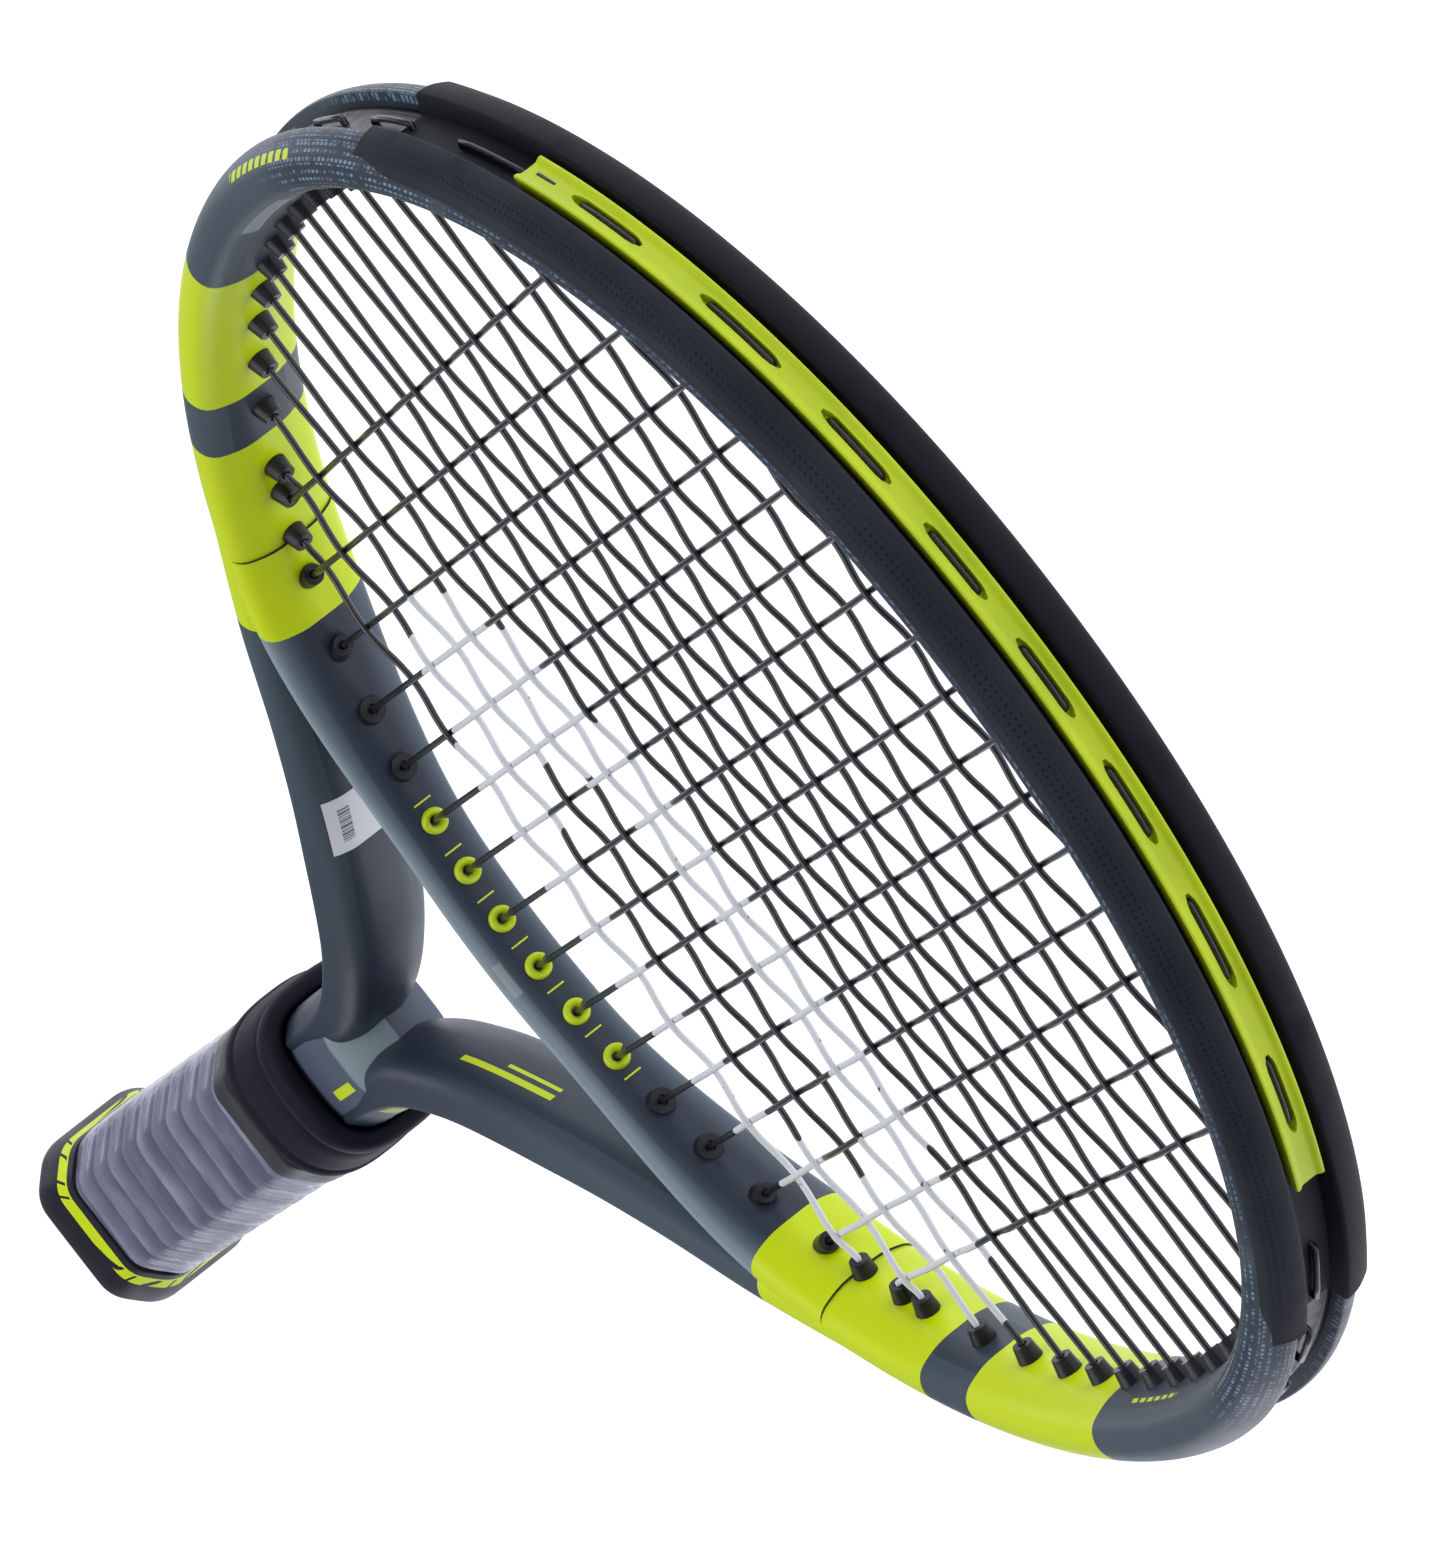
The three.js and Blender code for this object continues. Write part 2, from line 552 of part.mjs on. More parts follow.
const sideSign = (hole, sign) => (sign > 0 ? hole : (hole.line === 'bridge' ? flipBridge(hole) : flipped(hole)));
const tieOff = (h, sign, lean = 1) => {
  // The end is led a little way along the groove and knotted.
  const step = h.s < MIDDLE ? 1 : -1;
  return [[1.2, 0.6], [3.4, 2], [5.2, 2.4], [6.4, 2.4]].map(
    ([d, z]) => at3(frame.off(h.s + step * sign * d, h.face + LOOP + 0.4), lean * z),
  );
};

const leftOrder = [...halves].reverse();
const mainPath = [];
const mainHoles = [];
leftOrder.forEach((i, n) => mainHoles.push({ i, sign: -1, up: n % 2 === 0 }));
halves.forEach((i, n) => mainHoles.push({ i, sign: 1, up: n % 2 === 0 }));
mainHoles.forEach(({ i, sign, up }, n) => {
  const index = i - 0.5;
  const tip = sideSign(tipHoles[index], sign);
  const throat = sideSign(throatHoles[index], sign);
  const [first, last] = up ? [throat, tip] : [tip, throat];
  if (n === 0) mainPath.push(...tieOff(throat, 1).reverse());
  const bend = new THREE.Vector3(sign * mainX(i), OUTER_MAIN_TURN, 0);
  mainPath.push(...outward(first).reverse(), ...(i === 7.5 ? [bend] : []), ...outward(last));
  const next = mainHoles[n + 1];
  if (next) {
    const other = sideSign((up ? tipHoles : throatHoles)[next.i - 0.5], next.sign);
    mainPath.push(...turn(last, other));
  } else {
    mainPath.push(...tieOff(last, 1));
  }
});
add('main_string', cord(mainPath, 4), COLOURS.string);

// Where a main lies across the head at a given height.
const mainAt = (column, y) => {
  const i = Math.abs(column);
  const low = outward(throatHoles[i - 0.5])[0];
  const high = i === 7.5 ? new THREE.Vector3(mainX(i), OUTER_MAIN_TURN, 0) : outward(tipHoles[i - 0.5])[0];
  return Math.sign(column) * THREE.MathUtils.lerp(low.x, high.x, (y - low.y) / (high.y - low.y));
};

const crossPath = [];
rows.forEach((k, n) => {
  const rightward = n % 2 === 0;
  const sign = rightward ? 1 : -1;
  const start = sideSign(crossHoles[n], -sign);
  const finish = sideSign(crossHoles[n], sign);
  if (n === 0) crossPath.push(...tieOff(start, -1, 0).reverse());
  crossPath.push(...outward(start).reverse());
  const columns = [...[...halves].reverse().map((i) => -i), ...halves];
  columns.forEach((i, c) => {
    const column = rightward ? i : -i;
    const over = c % 2 === 0 ? 1 : -1;
    if (k === -9 && Math.abs(column) > 7) return;
    if (k === 9 && Math.abs(column) > 7) {
      crossPath.push(new THREE.Vector3(Math.sign(column) * 83.4, 630.6, over * WEAVE));
      return;
    }
    crossPath.push(new THREE.Vector3(mainAt(column, crossY(k)), crossY(k), over * WEAVE));
  });
  crossPath.push(...outward(finish));
  const rise = k === -8 ? -1.8 : 0; // passes beside the outermost main's exit
  if (n < rows.length - 1) crossPath.push(...turn(finish, sideSign(crossHoles[n + 1], sign), rise));
  else crossPath.push(...tieOff(finish, 1));
});
add('cross_string', cord(crossPath, 4), COLOURS.string);

// ---- handle -------------------------------------------------------------------------------
// Two moulded half shells that give the round tubes their octagonal handle.
const shell = solidOf(prismAlongY(grownOctagon(0), 2.9, 182.5));
const webPocket = solidOf(block(-7.7, 7.7, 149.6, 200, -11.3, 11.3));
const hollowShell = shell.subtract(clearTube).subtract(webPocket);
const frontHalf = hollowShell.intersect(solidOf(block(-30, 30, 0, 200, 0.15, 30)));
const backHalf = hollowShell.intersect(solidOf(block(-30, 30, 0, 200, -30, -0.15)));
// The tube ends stand on the floor of the cap between the shells.
add('pallet_front', geometryOf(frontHalf), COLOURS.foam);
add('pallet_back', geometryOf(backHalf), COLOURS.foam);

// Butt cap: cup with a flared heel, pushed over the end of the shells and stapled.
const capRings = [
  [0, 17.7, 16.2], [0.8, 18.9, 17.4], [2.6, 19.8, 18.3], [8.5, 19.7, 18.2],
  [13, 19.0, 17.5], [17, 18.0, 16.5], [20.5, 17.3, 15.8], [BUTT_CAP_LENGTH, 17.1, 15.6],
].map(([y, a, b]) => ringAt(y, octagon(a, b, 7.6)));
const capPocket = solidOf(prismAlongY(grownOctagon(GAP), 2.6, BUTT_CAP_LENGTH + 1));
const capShell = solidOf(loft(capRings)).subtract(capPocket);
add('butt_cap', geometryOf(capShell), COLOURS.rubber);

// Base grip: leather-like strip wound up the handle, each turn laid against the last.
const pitch = (GRIP_END - GRIP_START) / (GRIP_TURNS + 1);
const corner = (d, j) => grownOctagon(d)[((j % 8) + 8) % 8];
const gripRings = [];
for (let j = 0; j <= GRIP_TURNS * 8; j += 1) {
  const y = GRIP_START + (pitch * j) / 8;
  const point = (d, dy) => {
    const [x, z] = corner(d, j);
    return new THREE.Vector3(x, y + dy, z);
  };
  gripRings.push([
    point(GAP, 0), point(1.2, 0), point(1.9, pitch * 0.86), point(1.7, pitch - 0.3), point(GAP, pitch - 0.3),
  ]);
}
add('base_grip', loft(gripRings), COLOURS.grip);

// Clear film shrunk over the new grip.
const filmOuter = solidOf(prismAlongY(grownOctagon(2.35), GRIP_START - 0.2, 166));
const filmInner = solidOf(prismAlongY(grownOctagon(2.1), GRIP_START - 1, 168));
add('grip_film', geometryOf(filmOuter.subtract(filmInner)), COLOURS.film);

// Finishing tape round the top end of the grip.
const tapeOuter = solidOf(prismAlongY(grownOctagon(2.7), 166.4, 179.6));
const tapeInner = solidOf(prismAlongY(grownOctagon(2.1), 160, 190));
add('finishing_tape', geometryOf(tapeOuter.subtract(tapeInner)), COLOURS.tape);

// Rubber collar: stretchy sleeve that slides on the neck and covers the end of the grip.
const [c0, c1] = COLLAR_Y;
const collarRings = [
  [c0, 18.6, 17.2], [c0 + 1.2, 19.3, 17.9], [c0 + 6, 19.3, 17.9], [c0 + 8, 18.6, 17.2],
  [c0 + 20, 17.9, 16.5], [c1 - 8, 17.9, 16.5], [c1 - 6, 18.6, 17.2], [c1 - 1, 18.4, 17.0], [c1, 17.8, 16.4],
].map(([y, a, b]) => ringAt(y, superellipse(a, b, 2.6, 20)));
const collarSeat = solidOf(prismAlongY(superellipse(16.5, 15, 4, 20), c0 - 1, c0 + 6));
const collarBore = solidOf(prismAlongY(superellipse(14.8, 13.3, 3, 20), c0 - 1, c1 + 1));
const collarSolid = solidOf(loft(collarRings)).subtract(collarSeat).subtract(collarBore);
add('rubber_collar', geometryOf(collarSolid), COLOURS.rubber);

// Paper stock label on the inner wall of the left shaft.
const labelMid = frame.length - solve((q) => frame.point(q).y - 322, 0, SPLIT);
const labelRings = stations(labelMid - 10, labelMid + 10, 10).map((s) => {
  const r = halfWidth(s);
  return placed(frame, s, [[-r - 0.05, 3.6], [-r - 0.05, -3.6], [-r - 0.17, -3.6], [-r - 0.17, 3.6]]);
});
add('stock_label', loft(labelRings), COLOURS.paper);

const group = new THREE.Group();
group.name = 'tennis_racket';
pieces.forEach((mesh) => group.add(mesh));

export default group;
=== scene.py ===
import math
import bpy
import bmesh
import numpy as np
from mathutils import Matrix, Vector


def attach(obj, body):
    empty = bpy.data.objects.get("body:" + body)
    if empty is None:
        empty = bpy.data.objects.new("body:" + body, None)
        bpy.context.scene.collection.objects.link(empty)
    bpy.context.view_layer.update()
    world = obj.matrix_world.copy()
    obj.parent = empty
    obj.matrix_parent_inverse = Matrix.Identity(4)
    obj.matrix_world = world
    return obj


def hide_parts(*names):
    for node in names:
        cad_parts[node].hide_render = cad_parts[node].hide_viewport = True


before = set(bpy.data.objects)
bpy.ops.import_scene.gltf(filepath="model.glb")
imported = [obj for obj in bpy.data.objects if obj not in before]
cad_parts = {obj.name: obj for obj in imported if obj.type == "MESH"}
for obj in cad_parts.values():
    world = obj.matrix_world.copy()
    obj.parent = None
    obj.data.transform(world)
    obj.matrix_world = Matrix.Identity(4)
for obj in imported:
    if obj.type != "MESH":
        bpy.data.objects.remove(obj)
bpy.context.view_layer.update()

# --------------------------------------
# Studio: a long lens from beyond the tip, looking down the racket towards its butt, over a
# pale sweep lit by large soft boxes.
# --------------------------------------
eye = Vector((-0.0463, 2.7377, 0.6697))
look = Vector((0.01784, -0.95743, -0.28810)).normalized()
up = Vector((-0.79127, 0.16263, -0.58944))
right = look.cross(up).normalized()
up = right.cross(look)


def stand(name, data):
    """A new object in the scene."""
    thing = bpy.data.objects.new(name, data)
    bpy.context.scene.collection.objects.link(thing)
    return thing


lens = bpy.data.cameras.new("studio_camera")
lens.sensor_fit = "AUTO"
lens.sensor_width = 36.0
lens.lens = 321.481865
lens.clip_end = 50.0
camera = stand("studio_camera", lens)
camera.matrix_world = Matrix.Translation(eye) @ Matrix((right, up, -look)).transposed().to_4x4()
bpy.context.scene.camera = camera
bpy.context.scene.view_settings.view_transform = "Standard"

world = bpy.data.worlds.new("studio_air")
world.use_nodes = True
world.node_tree.nodes["Background"].inputs["Color"].default_value = (0.88, 0.91, 1.0, 1.0)
world.node_tree.nodes["Background"].inputs["Strength"].default_value = 0.30
bpy.context.scene.world = world

for name, place, aim, size, watts, tint in [
    ("key_box", (-0.6, 0.3, 2.0), (0.0, 0.35, 0.0), 2.2, 34.0, (0.97, 0.98, 1.0)),
    ("tip_box", (-0.9, 2.4, 0.9), (0.0, 0.5, 0.0), 1.6, 3.0, (0.97, 0.98, 1.0)),
    ("butt_box", (1.1, -1.6, 0.25), (0.0, 0.1, 0.0), 1.0, 4.0, (0.86, 0.87, 1.0)),
    ("butt_box_left", (-1.2, -1.5, 0.35), (0.0, 0.1, 0.0), 0.8, 2.5, (0.86, 0.87, 1.0)),
]:
    lamp = bpy.data.lights.new(name, "AREA")
    lamp.shape = "SQUARE"
    lamp.size = size
    lamp.energy = watts
    lamp.color = tint
    box = stand(name, lamp)
    box.location = place
    box.rotation_euler = (Vector(aim) - Vector(place)).to_track_quat("-Z", "Y").to_euler()

floor_mesh = bpy.data.meshes.new("studio_floor")
floor_corners = [(-12, -14, -0.32), (12, -14, -0.32), (12, 9, -0.32), (-12, 9, -0.32)]
floor_mesh.from_pydata(floor_corners, [], [(0, 1, 2, 3)])
floor = stand("studio_floor", floor_mesh)
pale = bpy.data.materials.new("pale_sweep")
pale.use_nodes = True
sweep_shader = pale.node_tree.nodes["Principled BSDF"].inputs
sweep_shader["Base Color"].default_value = (0.93, 0.93, 0.93, 1.0)
sweep_shader["Roughness"].default_value = 0.9
sweep_shader["Emission Color"].default_value = (0.93, 0.95, 1.0, 1.0)
sweep_shader["Emission Strength"].default_value = 0.60
floor_mesh.materials.append(pale)

# --------------------------------------
# Hoop and shafts: one hairpin tube of carbon cloth moulded round a bladder. It runs up from
# the butt, round the head and back down, with a string groove pressed into the outside of the
# hoop, then it is sprayed slate blue with lime bands and lacquered.
# --------------------------------------
TIP, WIDEST, HALF_HEAD, BRIDGE = 0.6771, 0.525, 0.1302, 0.3415
LEAVES = 0.8  # angle round the throat ellipse at which the hoop turns off it into the shafts
SHAFT_STEPS = 240


def head_quarter(t, end, fullness):
    """Quarter of the head's outline, from its widest point to one end."""
    power = 2 / fullness
    return np.stack([HALF_HEAD * np.cos(t) ** power, WIDEST + (end - WIDEST) * np.sin(t) ** power], -1)


def tip_half(t):
    return head_quarter(t, TIP, 2.06)


def throat_half(t):
    return head_quarter(t, BRIDGE, 1.95)


def smooth_line(knots, count):
    """Catmull-Rom line through the knots."""
    knots = np.array(knots, float)
    last = len(knots) - 1
    t = np.arange(count) / count * last
    i = np.floor(t).astype(int)
    w = (t - i)[:, None]
    p0, p1 = knots[np.maximum(i - 1, 0)], knots[i]
    p2, p3 = knots[np.minimum(i + 1, last)], knots[np.minimum(i + 2, last)]
    v0, v1 = (p2 - p0) / 2, (p3 - p1) / 2
    return (2 * p1 - 2 * p2 + v0 + v1) * w ** 3 + (3 * p2 - 3 * p1 - 2 * v0 - v1) * w ** 2 + v0 * w + p1


class Line:
    """A flat centreline measured by distance along it; offsets are to its outward side."""

    def __init__(self, points, side):
        self.points = points
        self.run = np.concatenate([[0], np.cumsum(np.linalg.norm(np.diff(points, axis=0), axis=1))])
        self.length = self.run[-1]
        self.side = side

    def at(self, s):
        s = np.asarray(s, float)
        return np.stack([np.interp(s, self.run, self.points[:, k]) for k in (0, 1)], -1)

    def out(self, s):
        t = self.at(np.asarray(s) + 0.002) - self.at(np.asarray(s) - 0.002)
        t = t / np.linalg.norm(t, axis=-1, keepdims=True)
        return self.side * np.stack([t[..., 1], -t[..., 0]], -1)

    def off(self, s, u):
        return self.at(s) + self.out(s) * np.asarray(u)[..., None]

    def where(self, axis, value, u, s0, s1):
        """Distance at which the offset line reaches an x or y."""
        s = np.linspace(s0, s1, 3000)
        v = self.off(s, np.full(len(s), u))[:, axis]
        if v[-1] < v[0]:
            s, v = s[::-1], v[::-1]
        return float(np.interp(value, v, s))


knots = [(7.4, 5), (7.4, 60), (7.4, 120), (7.4, 180), (7.4, 224), (9.2, 246), (14, 265), (22, 285),
         (39.5, 318), (54.5, 341), (72.5, 366)]
leaving = tuple(throat_half(np.array(LEAVES)))
shaft_line = smooth_line([(x / 1000, y / 1000) for x, y in knots] + [leaving], SHAFT_STEPS)
half_line = np.vstack([
    shaft_line,
    throat_half(LEAVES * (1 - np.arange(121) / 120)),
    tip_half(np.pi / 2 * np.arange(1, 201) / 200),
])
half_line[-1, 0] = 0.0
hoop = Line(np.vstack([half_line, (half_line[:-1] * [-1, 1])[::-1]]), 1)
MIDDLE = hoop.length / 2
WIDE_S = hoop.where(1, WIDEST, 0.0, 0.0, MIDDLE)


def ease(x, a, b):
    t = np.clip((np.asarray(x, float) - a) / (b - a), 0, 1)
    return t * t * (3 - 2 * t)


def rounded(corners, steps=5):
    """Section outline with each corner (out, up, softness) turned by a short arc, in metres."""
    out = []
    for k, (u, z, soft) in enumerate(corners):
        here = np.array([u, z])
        before = np.array(corners[k - 1][:2]) - here
        after = np.array(corners[(k + 1) % len(corners)][:2]) - here
        lb, la = np.linalg.norm(before), np.linalg.norm(after)
        a = here + before / lb * min(soft, 0.48 * lb)
        b = here + after / la * min(soft, 0.48 * la)
        for q in np.linspace(0, 1, steps):
            out.append((1 - q) ** 2 * a + 2 * q * (1 - q) * here + q * q * b)
    return np.array(out) / 1000


def tube_outline(s):
    """Blunt inner wall, full crown and a groove on the outside of the hoop; creased on the shafts."""
    y = hoop.at(s)[1] * 1000
    from_tip = abs(s - MIDDLE) * 1000
    h = 10.9 + 0.9 * ease(y, 215, 330) if y < 395 else 11.8 - 0.6 * ease(y, 430, 660)
    r = 6.2 - 0.9 * ease(y, 224, 270) + 0.4 * ease(y, 320, 390)
    depth = 3.9 * (1 - ease(from_tip, 408, 436))
    w = 1 - ease(from_tip, 385, 470)
    mix = lambda shaft, head: shaft + (head - shaft) * w
    upper = [
        (-r, mix(0.42, 0.40) * h, mix(1.6, 2.4)),
        (mix(-0.72, -0.64) * r, mix(0.84, 0.90) * h, mix(2.4, 2.6)),
        (mix(0.34, 0.06) * r, mix(1.02, 1.0) * h, mix(0.9, 2.6)),
        (mix(0.86, 0.74) * r, mix(0.70, 0.85) * h, mix(1.4, 2.2)),
        (r, mix(0.50, 0.60) * h, 1.6),
        (r, 5.0, 0.4),
        (r - depth, 4.6, 0.4),
    ]
    return rounded(upper + [(u, -z, soft) for u, z, soft in reversed(upper)])


def skin(name, rings, across=None, ends=True):
    """Smooth skin over rings of points. Its UV map holds the metres along and the share around."""
    rings = np.asarray(rings)
    n, m = rings.shape[:2]
    i, j = np.meshgrid(np.arange(n - 1), np.arange(m), indexing="ij")
    a, b = i * m + j, i * m + (j + 1) % m
    quads = np.stack([a, b, b + m, a + m], -1).reshape(-1, 4)
    faces = [tuple(q) for q in quads.tolist()]
    if ends:
        faces += [tuple(range(m))[::-1], tuple(range((n - 1) * m, n * m))]
    mesh = bpy.data.meshes.new(name)
    mesh.from_pydata(rings.reshape(-1, 3).tolist(), [], faces)
    along = np.zeros(n) if across is None else np.asarray(across, float)
    uv = mesh.uv_layers.new(name="UVMap")
    i, j = i.ravel(), j.ravel()
    quad_uv = np.stack([
        np.stack([along[i], along[i], along[i + 1], along[i + 1]], -1),
        np.stack([j / m, (j + 1) / m, (j + 1) / m, j / m], -1),
    ], -1).reshape(-1, 2)
    whole = np.zeros((len(mesh.loops), 2))
    whole[:len(quad_uv)] = quad_uv
    uv.data.foreach_set("uv", whole.ravel())
    work = bmesh.new()
    work.from_mesh(mesh)
    bmesh.ops.recalc_face_normals(work, faces=work.faces)
    work.to_mesh(mesh)
    work.free()
    mesh.polygons.foreach_set("use_smooth", [True] * len(mesh.polygons))
    mesh.set_sharp_from_angle(angle=math.radians(50))
    return stand(name, mesh)


def swept(line, s, outlines):
    """Rings of a section carried along a centreline."""
    rings = []
    for distance, outline in zip(s, outlines):
        flat = line.at(distance) + line.out(distance) * outline[:, :1]
        rings.append(np.column_stack([flat, outline[:, 1]]))
    return rings


hoop_s = np.concatenate([[0.0], np.arange(hoop.where(1, 0.19, 0, 0, MIDDLE), MIDDLE, 0.0035)])
hoop_s = np.concatenate([hoop_s, [MIDDLE], (hoop.length - hoop_s)[::-1]])
hoop_tube = skin("hoop_tube", swept(hoop, hoop_s, [tube_outline(s) for s in hoop_s]), hoop_s - MIDDLE)


class Level:
    """One output of a material's nodes, on which arithmetic adds Math nodes."""

    def __init__(self, finish, socket):
        self.finish, self.socket = finish, socket

    def sum(self, operation, *others):
        terms = dict(enumerate((self, *others)))
        return self.finish.add("ShaderNodeMath", {"operation": operation}, terms)

    def back(self, operation, other):
        return self.finish.add("ShaderNodeMath", {"operation": operation}, {0: other, 1: self})

    def within(self, low, high):
        return (self > low) * (self < high)

    def __add__(self, other): return self.sum("ADD", other)
    def __radd__(self, other): return self.back("ADD", other)
    def __sub__(self, other): return self.sum("SUBTRACT", other)
    def __rsub__(self, other): return self.back("SUBTRACT", other)
    def __mul__(self, other): return self.sum("MULTIPLY", other)
    def __rmul__(self, other): return self.back("MULTIPLY", other)
    def __truediv__(self, other): return self.sum("DIVIDE", other)
    def __pow__(self, other): return self.sum("POWER", other)
    def __lt__(self, other): return self.sum("LESS_THAN", other)
    def __gt__(self, other): return self.sum("GREATER_THAN", other)
    def __abs__(self): return self.sum("ABSOLUTE")
    def __and__(self, other): return self.sum("MINIMUM", other)
    def __or__(self, other): return self.sum("MAXIMUM", other)


class Finish:
    """A paint, plastic or cloth being mixed on one Principled shader."""

    def __init__(self, name, **fixed):
        self.material = bpy.data.materials.new(name)
        self.material.use_nodes = True
        self.tree = self.material.node_tree
        self.shader = self.tree.nodes["Principled BSDF"]
        for key, value in fixed.items():
            self.shader.inputs[key.replace("_", " ")].default_value = value

    def add(self, kind, settings=None, values=None, output=0):
        node = self.tree.nodes.new(kind)
        for key, value in (settings or {}).items():
            if key == "stops":
                ramp = node.color_ramp
                while len(ramp.elements) < len(value):
                    ramp.elements.new(0.5)
                for element, (place, colour) in zip(ramp.elements, value):
                    element.position, element.color = place, colour
            else:
                setattr(node, key, value)
        for key, value in (values or {}).items():
            if isinstance(value, Level):
                self.tree.links.new(value.socket, node.inputs[key])
            else:
                node.inputs[key].default_value = value
        return Level(self, node.outputs[output])

    def object_xyz(self):
        place = self.add("ShaderNodeTexCoord", output="Object")
        return [self.add("ShaderNodeSeparateXYZ", None, {0: place}, k) for k in range(3)]

    def uv(self):
        place = self.add("ShaderNodeTexCoord", output="UV")
        return [self.add("ShaderNodeSeparateXYZ", None, {0: place}, k) for k in range(2)]

    def noise(self, scale, detail=3.0, rough=0.5, vector=None):
        vector = vector or self.add("ShaderNodeTexCoord", output="Object")
        values = {"Vector": vector, "Scale": scale, "Detail": detail, "Roughness": rough}
        return self.add("ShaderNodeTexNoise", None, values)

    def pick(self, mask, colour_off, colour_on):
        return self.add("ShaderNodeMix", {"data_type": "RGBA"}, {0: mask, 6: colour_off, 7: colour_on}, 2)

    def spread(self, value, low, high, least, most):
        """The value's range low to high, carried over to the range least to most."""
        return self.add("ShaderNodeMapRange", None, {0: value, 1: low, 2: high, 3: least, 4: most})

    def fract(self, value):
        return self.add("ShaderNodeMath", {"operation": "FRACT"}, {0: value})

    def mottle(self, cloud, low, high, dark, light):
        """Dark to light colour, as a noise goes from low to high."""
        return self.pick(self.ramp(cloud, low, high), dark, light)

    def ramp(self, value, low, high):
        """0 below low to 1 above high."""
        smooth = {"interpolation_type": "SMOOTHSTEP"}
        return self.add("ShaderNodeMapRange", smooth, {0: value, 1: low, 2: high})

    def feed(self, **sockets):
        for key, value in sockets.items():
            self.tree.links.new(value.socket, self.shader.inputs[key.replace("_", " ")])

    def bump(self, height, depth, strength=1.0):
        values = {"Height": height, "Distance": depth, "Strength": strength}
        self.feed(Normal=self.add("ShaderNodeBump", None, values))


NAVY = (0.022, 0.030, 0.050, 1.0)
LIME = (0.660, 0.810, 0.001, 1.0)
PALE_BLUE = (0.230, 0.340, 0.460, 1.0)
CHALK = (0.330, 0.390, 0.390, 1.0)


def lacquered(finish, base):
    """Lacquer over sprayed colour: faint orange peel and flow marks."""
    cloud = finish.noise(26.0, 4.0)
    finish.feed(Roughness=finish.spread(cloud, 0.3, 0.7, 0.38, 0.50))
    peel = finish.noise(900.0, 2.0)
    finish.bump(peel, 0.00003, 0.35)
    finish.feed(Base_Color=base)


paint = Finish("hoop_lacquer", Specular_IOR_Level=0.28, Coat_Weight=0.08, Coat_Roughness=0.30)
px, _, pz = paint.object_xyz()
pu, pv = paint.uv()
far = abs(pu)
tone = paint.mottle(paint.noise(9.0, 2.0), 0.3, 0.7, (0.052, 0.078, 0.100, 1.0), (0.064, 0.094, 0.118, 1.0))
shadowed = paint.pick(paint.ramp(far, 0.40, 0.56), tone, (0.020, 0.031, 0.053, 1.0))
# Painted shade: the inner wall, which faces the strings, is darkened to navy except near the tip.
inner_face = (pv < 0.055) | (pv > 0.945)
inner_wall_shade = paint.pick(inner_face * paint.ramp(far, 0.10, 0.2) * 0.6, shadowed, NAVY)
# Open-weave print on the shoulders under the ends of the bumper: rows of short light dashes.
rows = paint.fract(pv * 46.0)
column = paint.fract(far * 560.0 + pv * 30.0)
dash = (rows < 0.42) * (column < 0.62)
worn = paint.ramp(paint.noise(420.0, 2.0), 0.38, 0.60)
weave_zone = paint.ramp(far, 0.118, 0.140) * (1.0 - paint.ramp(far, 0.182, 0.212))
tip_zone = (1.0 - paint.ramp(far, 0.12, 0.14)) * pv.within(0.04, 0.24)
print_mask = dash * ((weave_zone * pv.within(0.05, 0.95)) | (tip_zone * 0.55)) * worn
dusk = paint.pick((tip_zone | weave_zone) * 0.85, inner_wall_shade, (0.012, 0.022, 0.042, 1.0))
printed = paint.pick(print_mask * 0.85, dusk, PALE_BLUE)
# The two lime bands, by distance from the tip; the lower one ends on the shafts and the bridge.
BAND_END = 0.3900
lime_bands = far.within(0.2675, 0.3190) | far.within(0.3355, BAND_END)
banded = paint.pick(lime_bands, printed, LIME)
# Lime keyline along the outer bevel of the right shaft, ending in rays at the neck.
keyline = (px > 0.004) * (pz > 0.0) * pv.within(0.268, 0.286) * far.within(0.455, 0.535)
flash_ray = paint.fract(pv * 190.0 + far * 90.0) < 0.62
flash = (px > 0.004) * (pz > 0.0) * pv.within(0.205, 0.345)
flash = flash * far.within(0.534, 0.546) * flash_ray
# Plain bars stand on the right shaft, broken ones on the shoulders.
shaft_bars = (px > 0.008) * (pv > 0.9858) * far.within(0.4700, 0.5050)
shaft_bars = shaft_bars * ((abs(pz - 0.0018) < 0.0007) | (abs(pz + 0.0004) < 0.0004) * (far < 0.4900))
shoulder_beat = paint.fract(far * 260.0 + pv * 8.0) < 0.66
left_front, right_front = (px < 0.0) * (pz > 0.0), (px > 0.0) * (pz > 0.0)
shoulder_bar = left_front * far.within(0.1850, 0.2200) * pv.within(0.225, 0.255) * shoulder_beat
inner_dash = right_front * far.within(0.2320, 0.2560) * pv.within(0.028, 0.040) * shoulder_beat
chalk_bar = left_front * far.within(0.2060, 0.2360) * pv.within(0.050, 0.090)
chalked = paint.pick(chalk_bar * 0.8, banded, CHALK)
lime_marks = keyline | flash | shaft_bars | shoulder_bar | inner_dash
lined = paint.pick(lime_marks * 0.95, chalked, LIME)
lacquered(paint, lined)
hoop_tube.data.materials.append(paint.material)
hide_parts("frame_tube")
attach(hoop_tube, "racket")

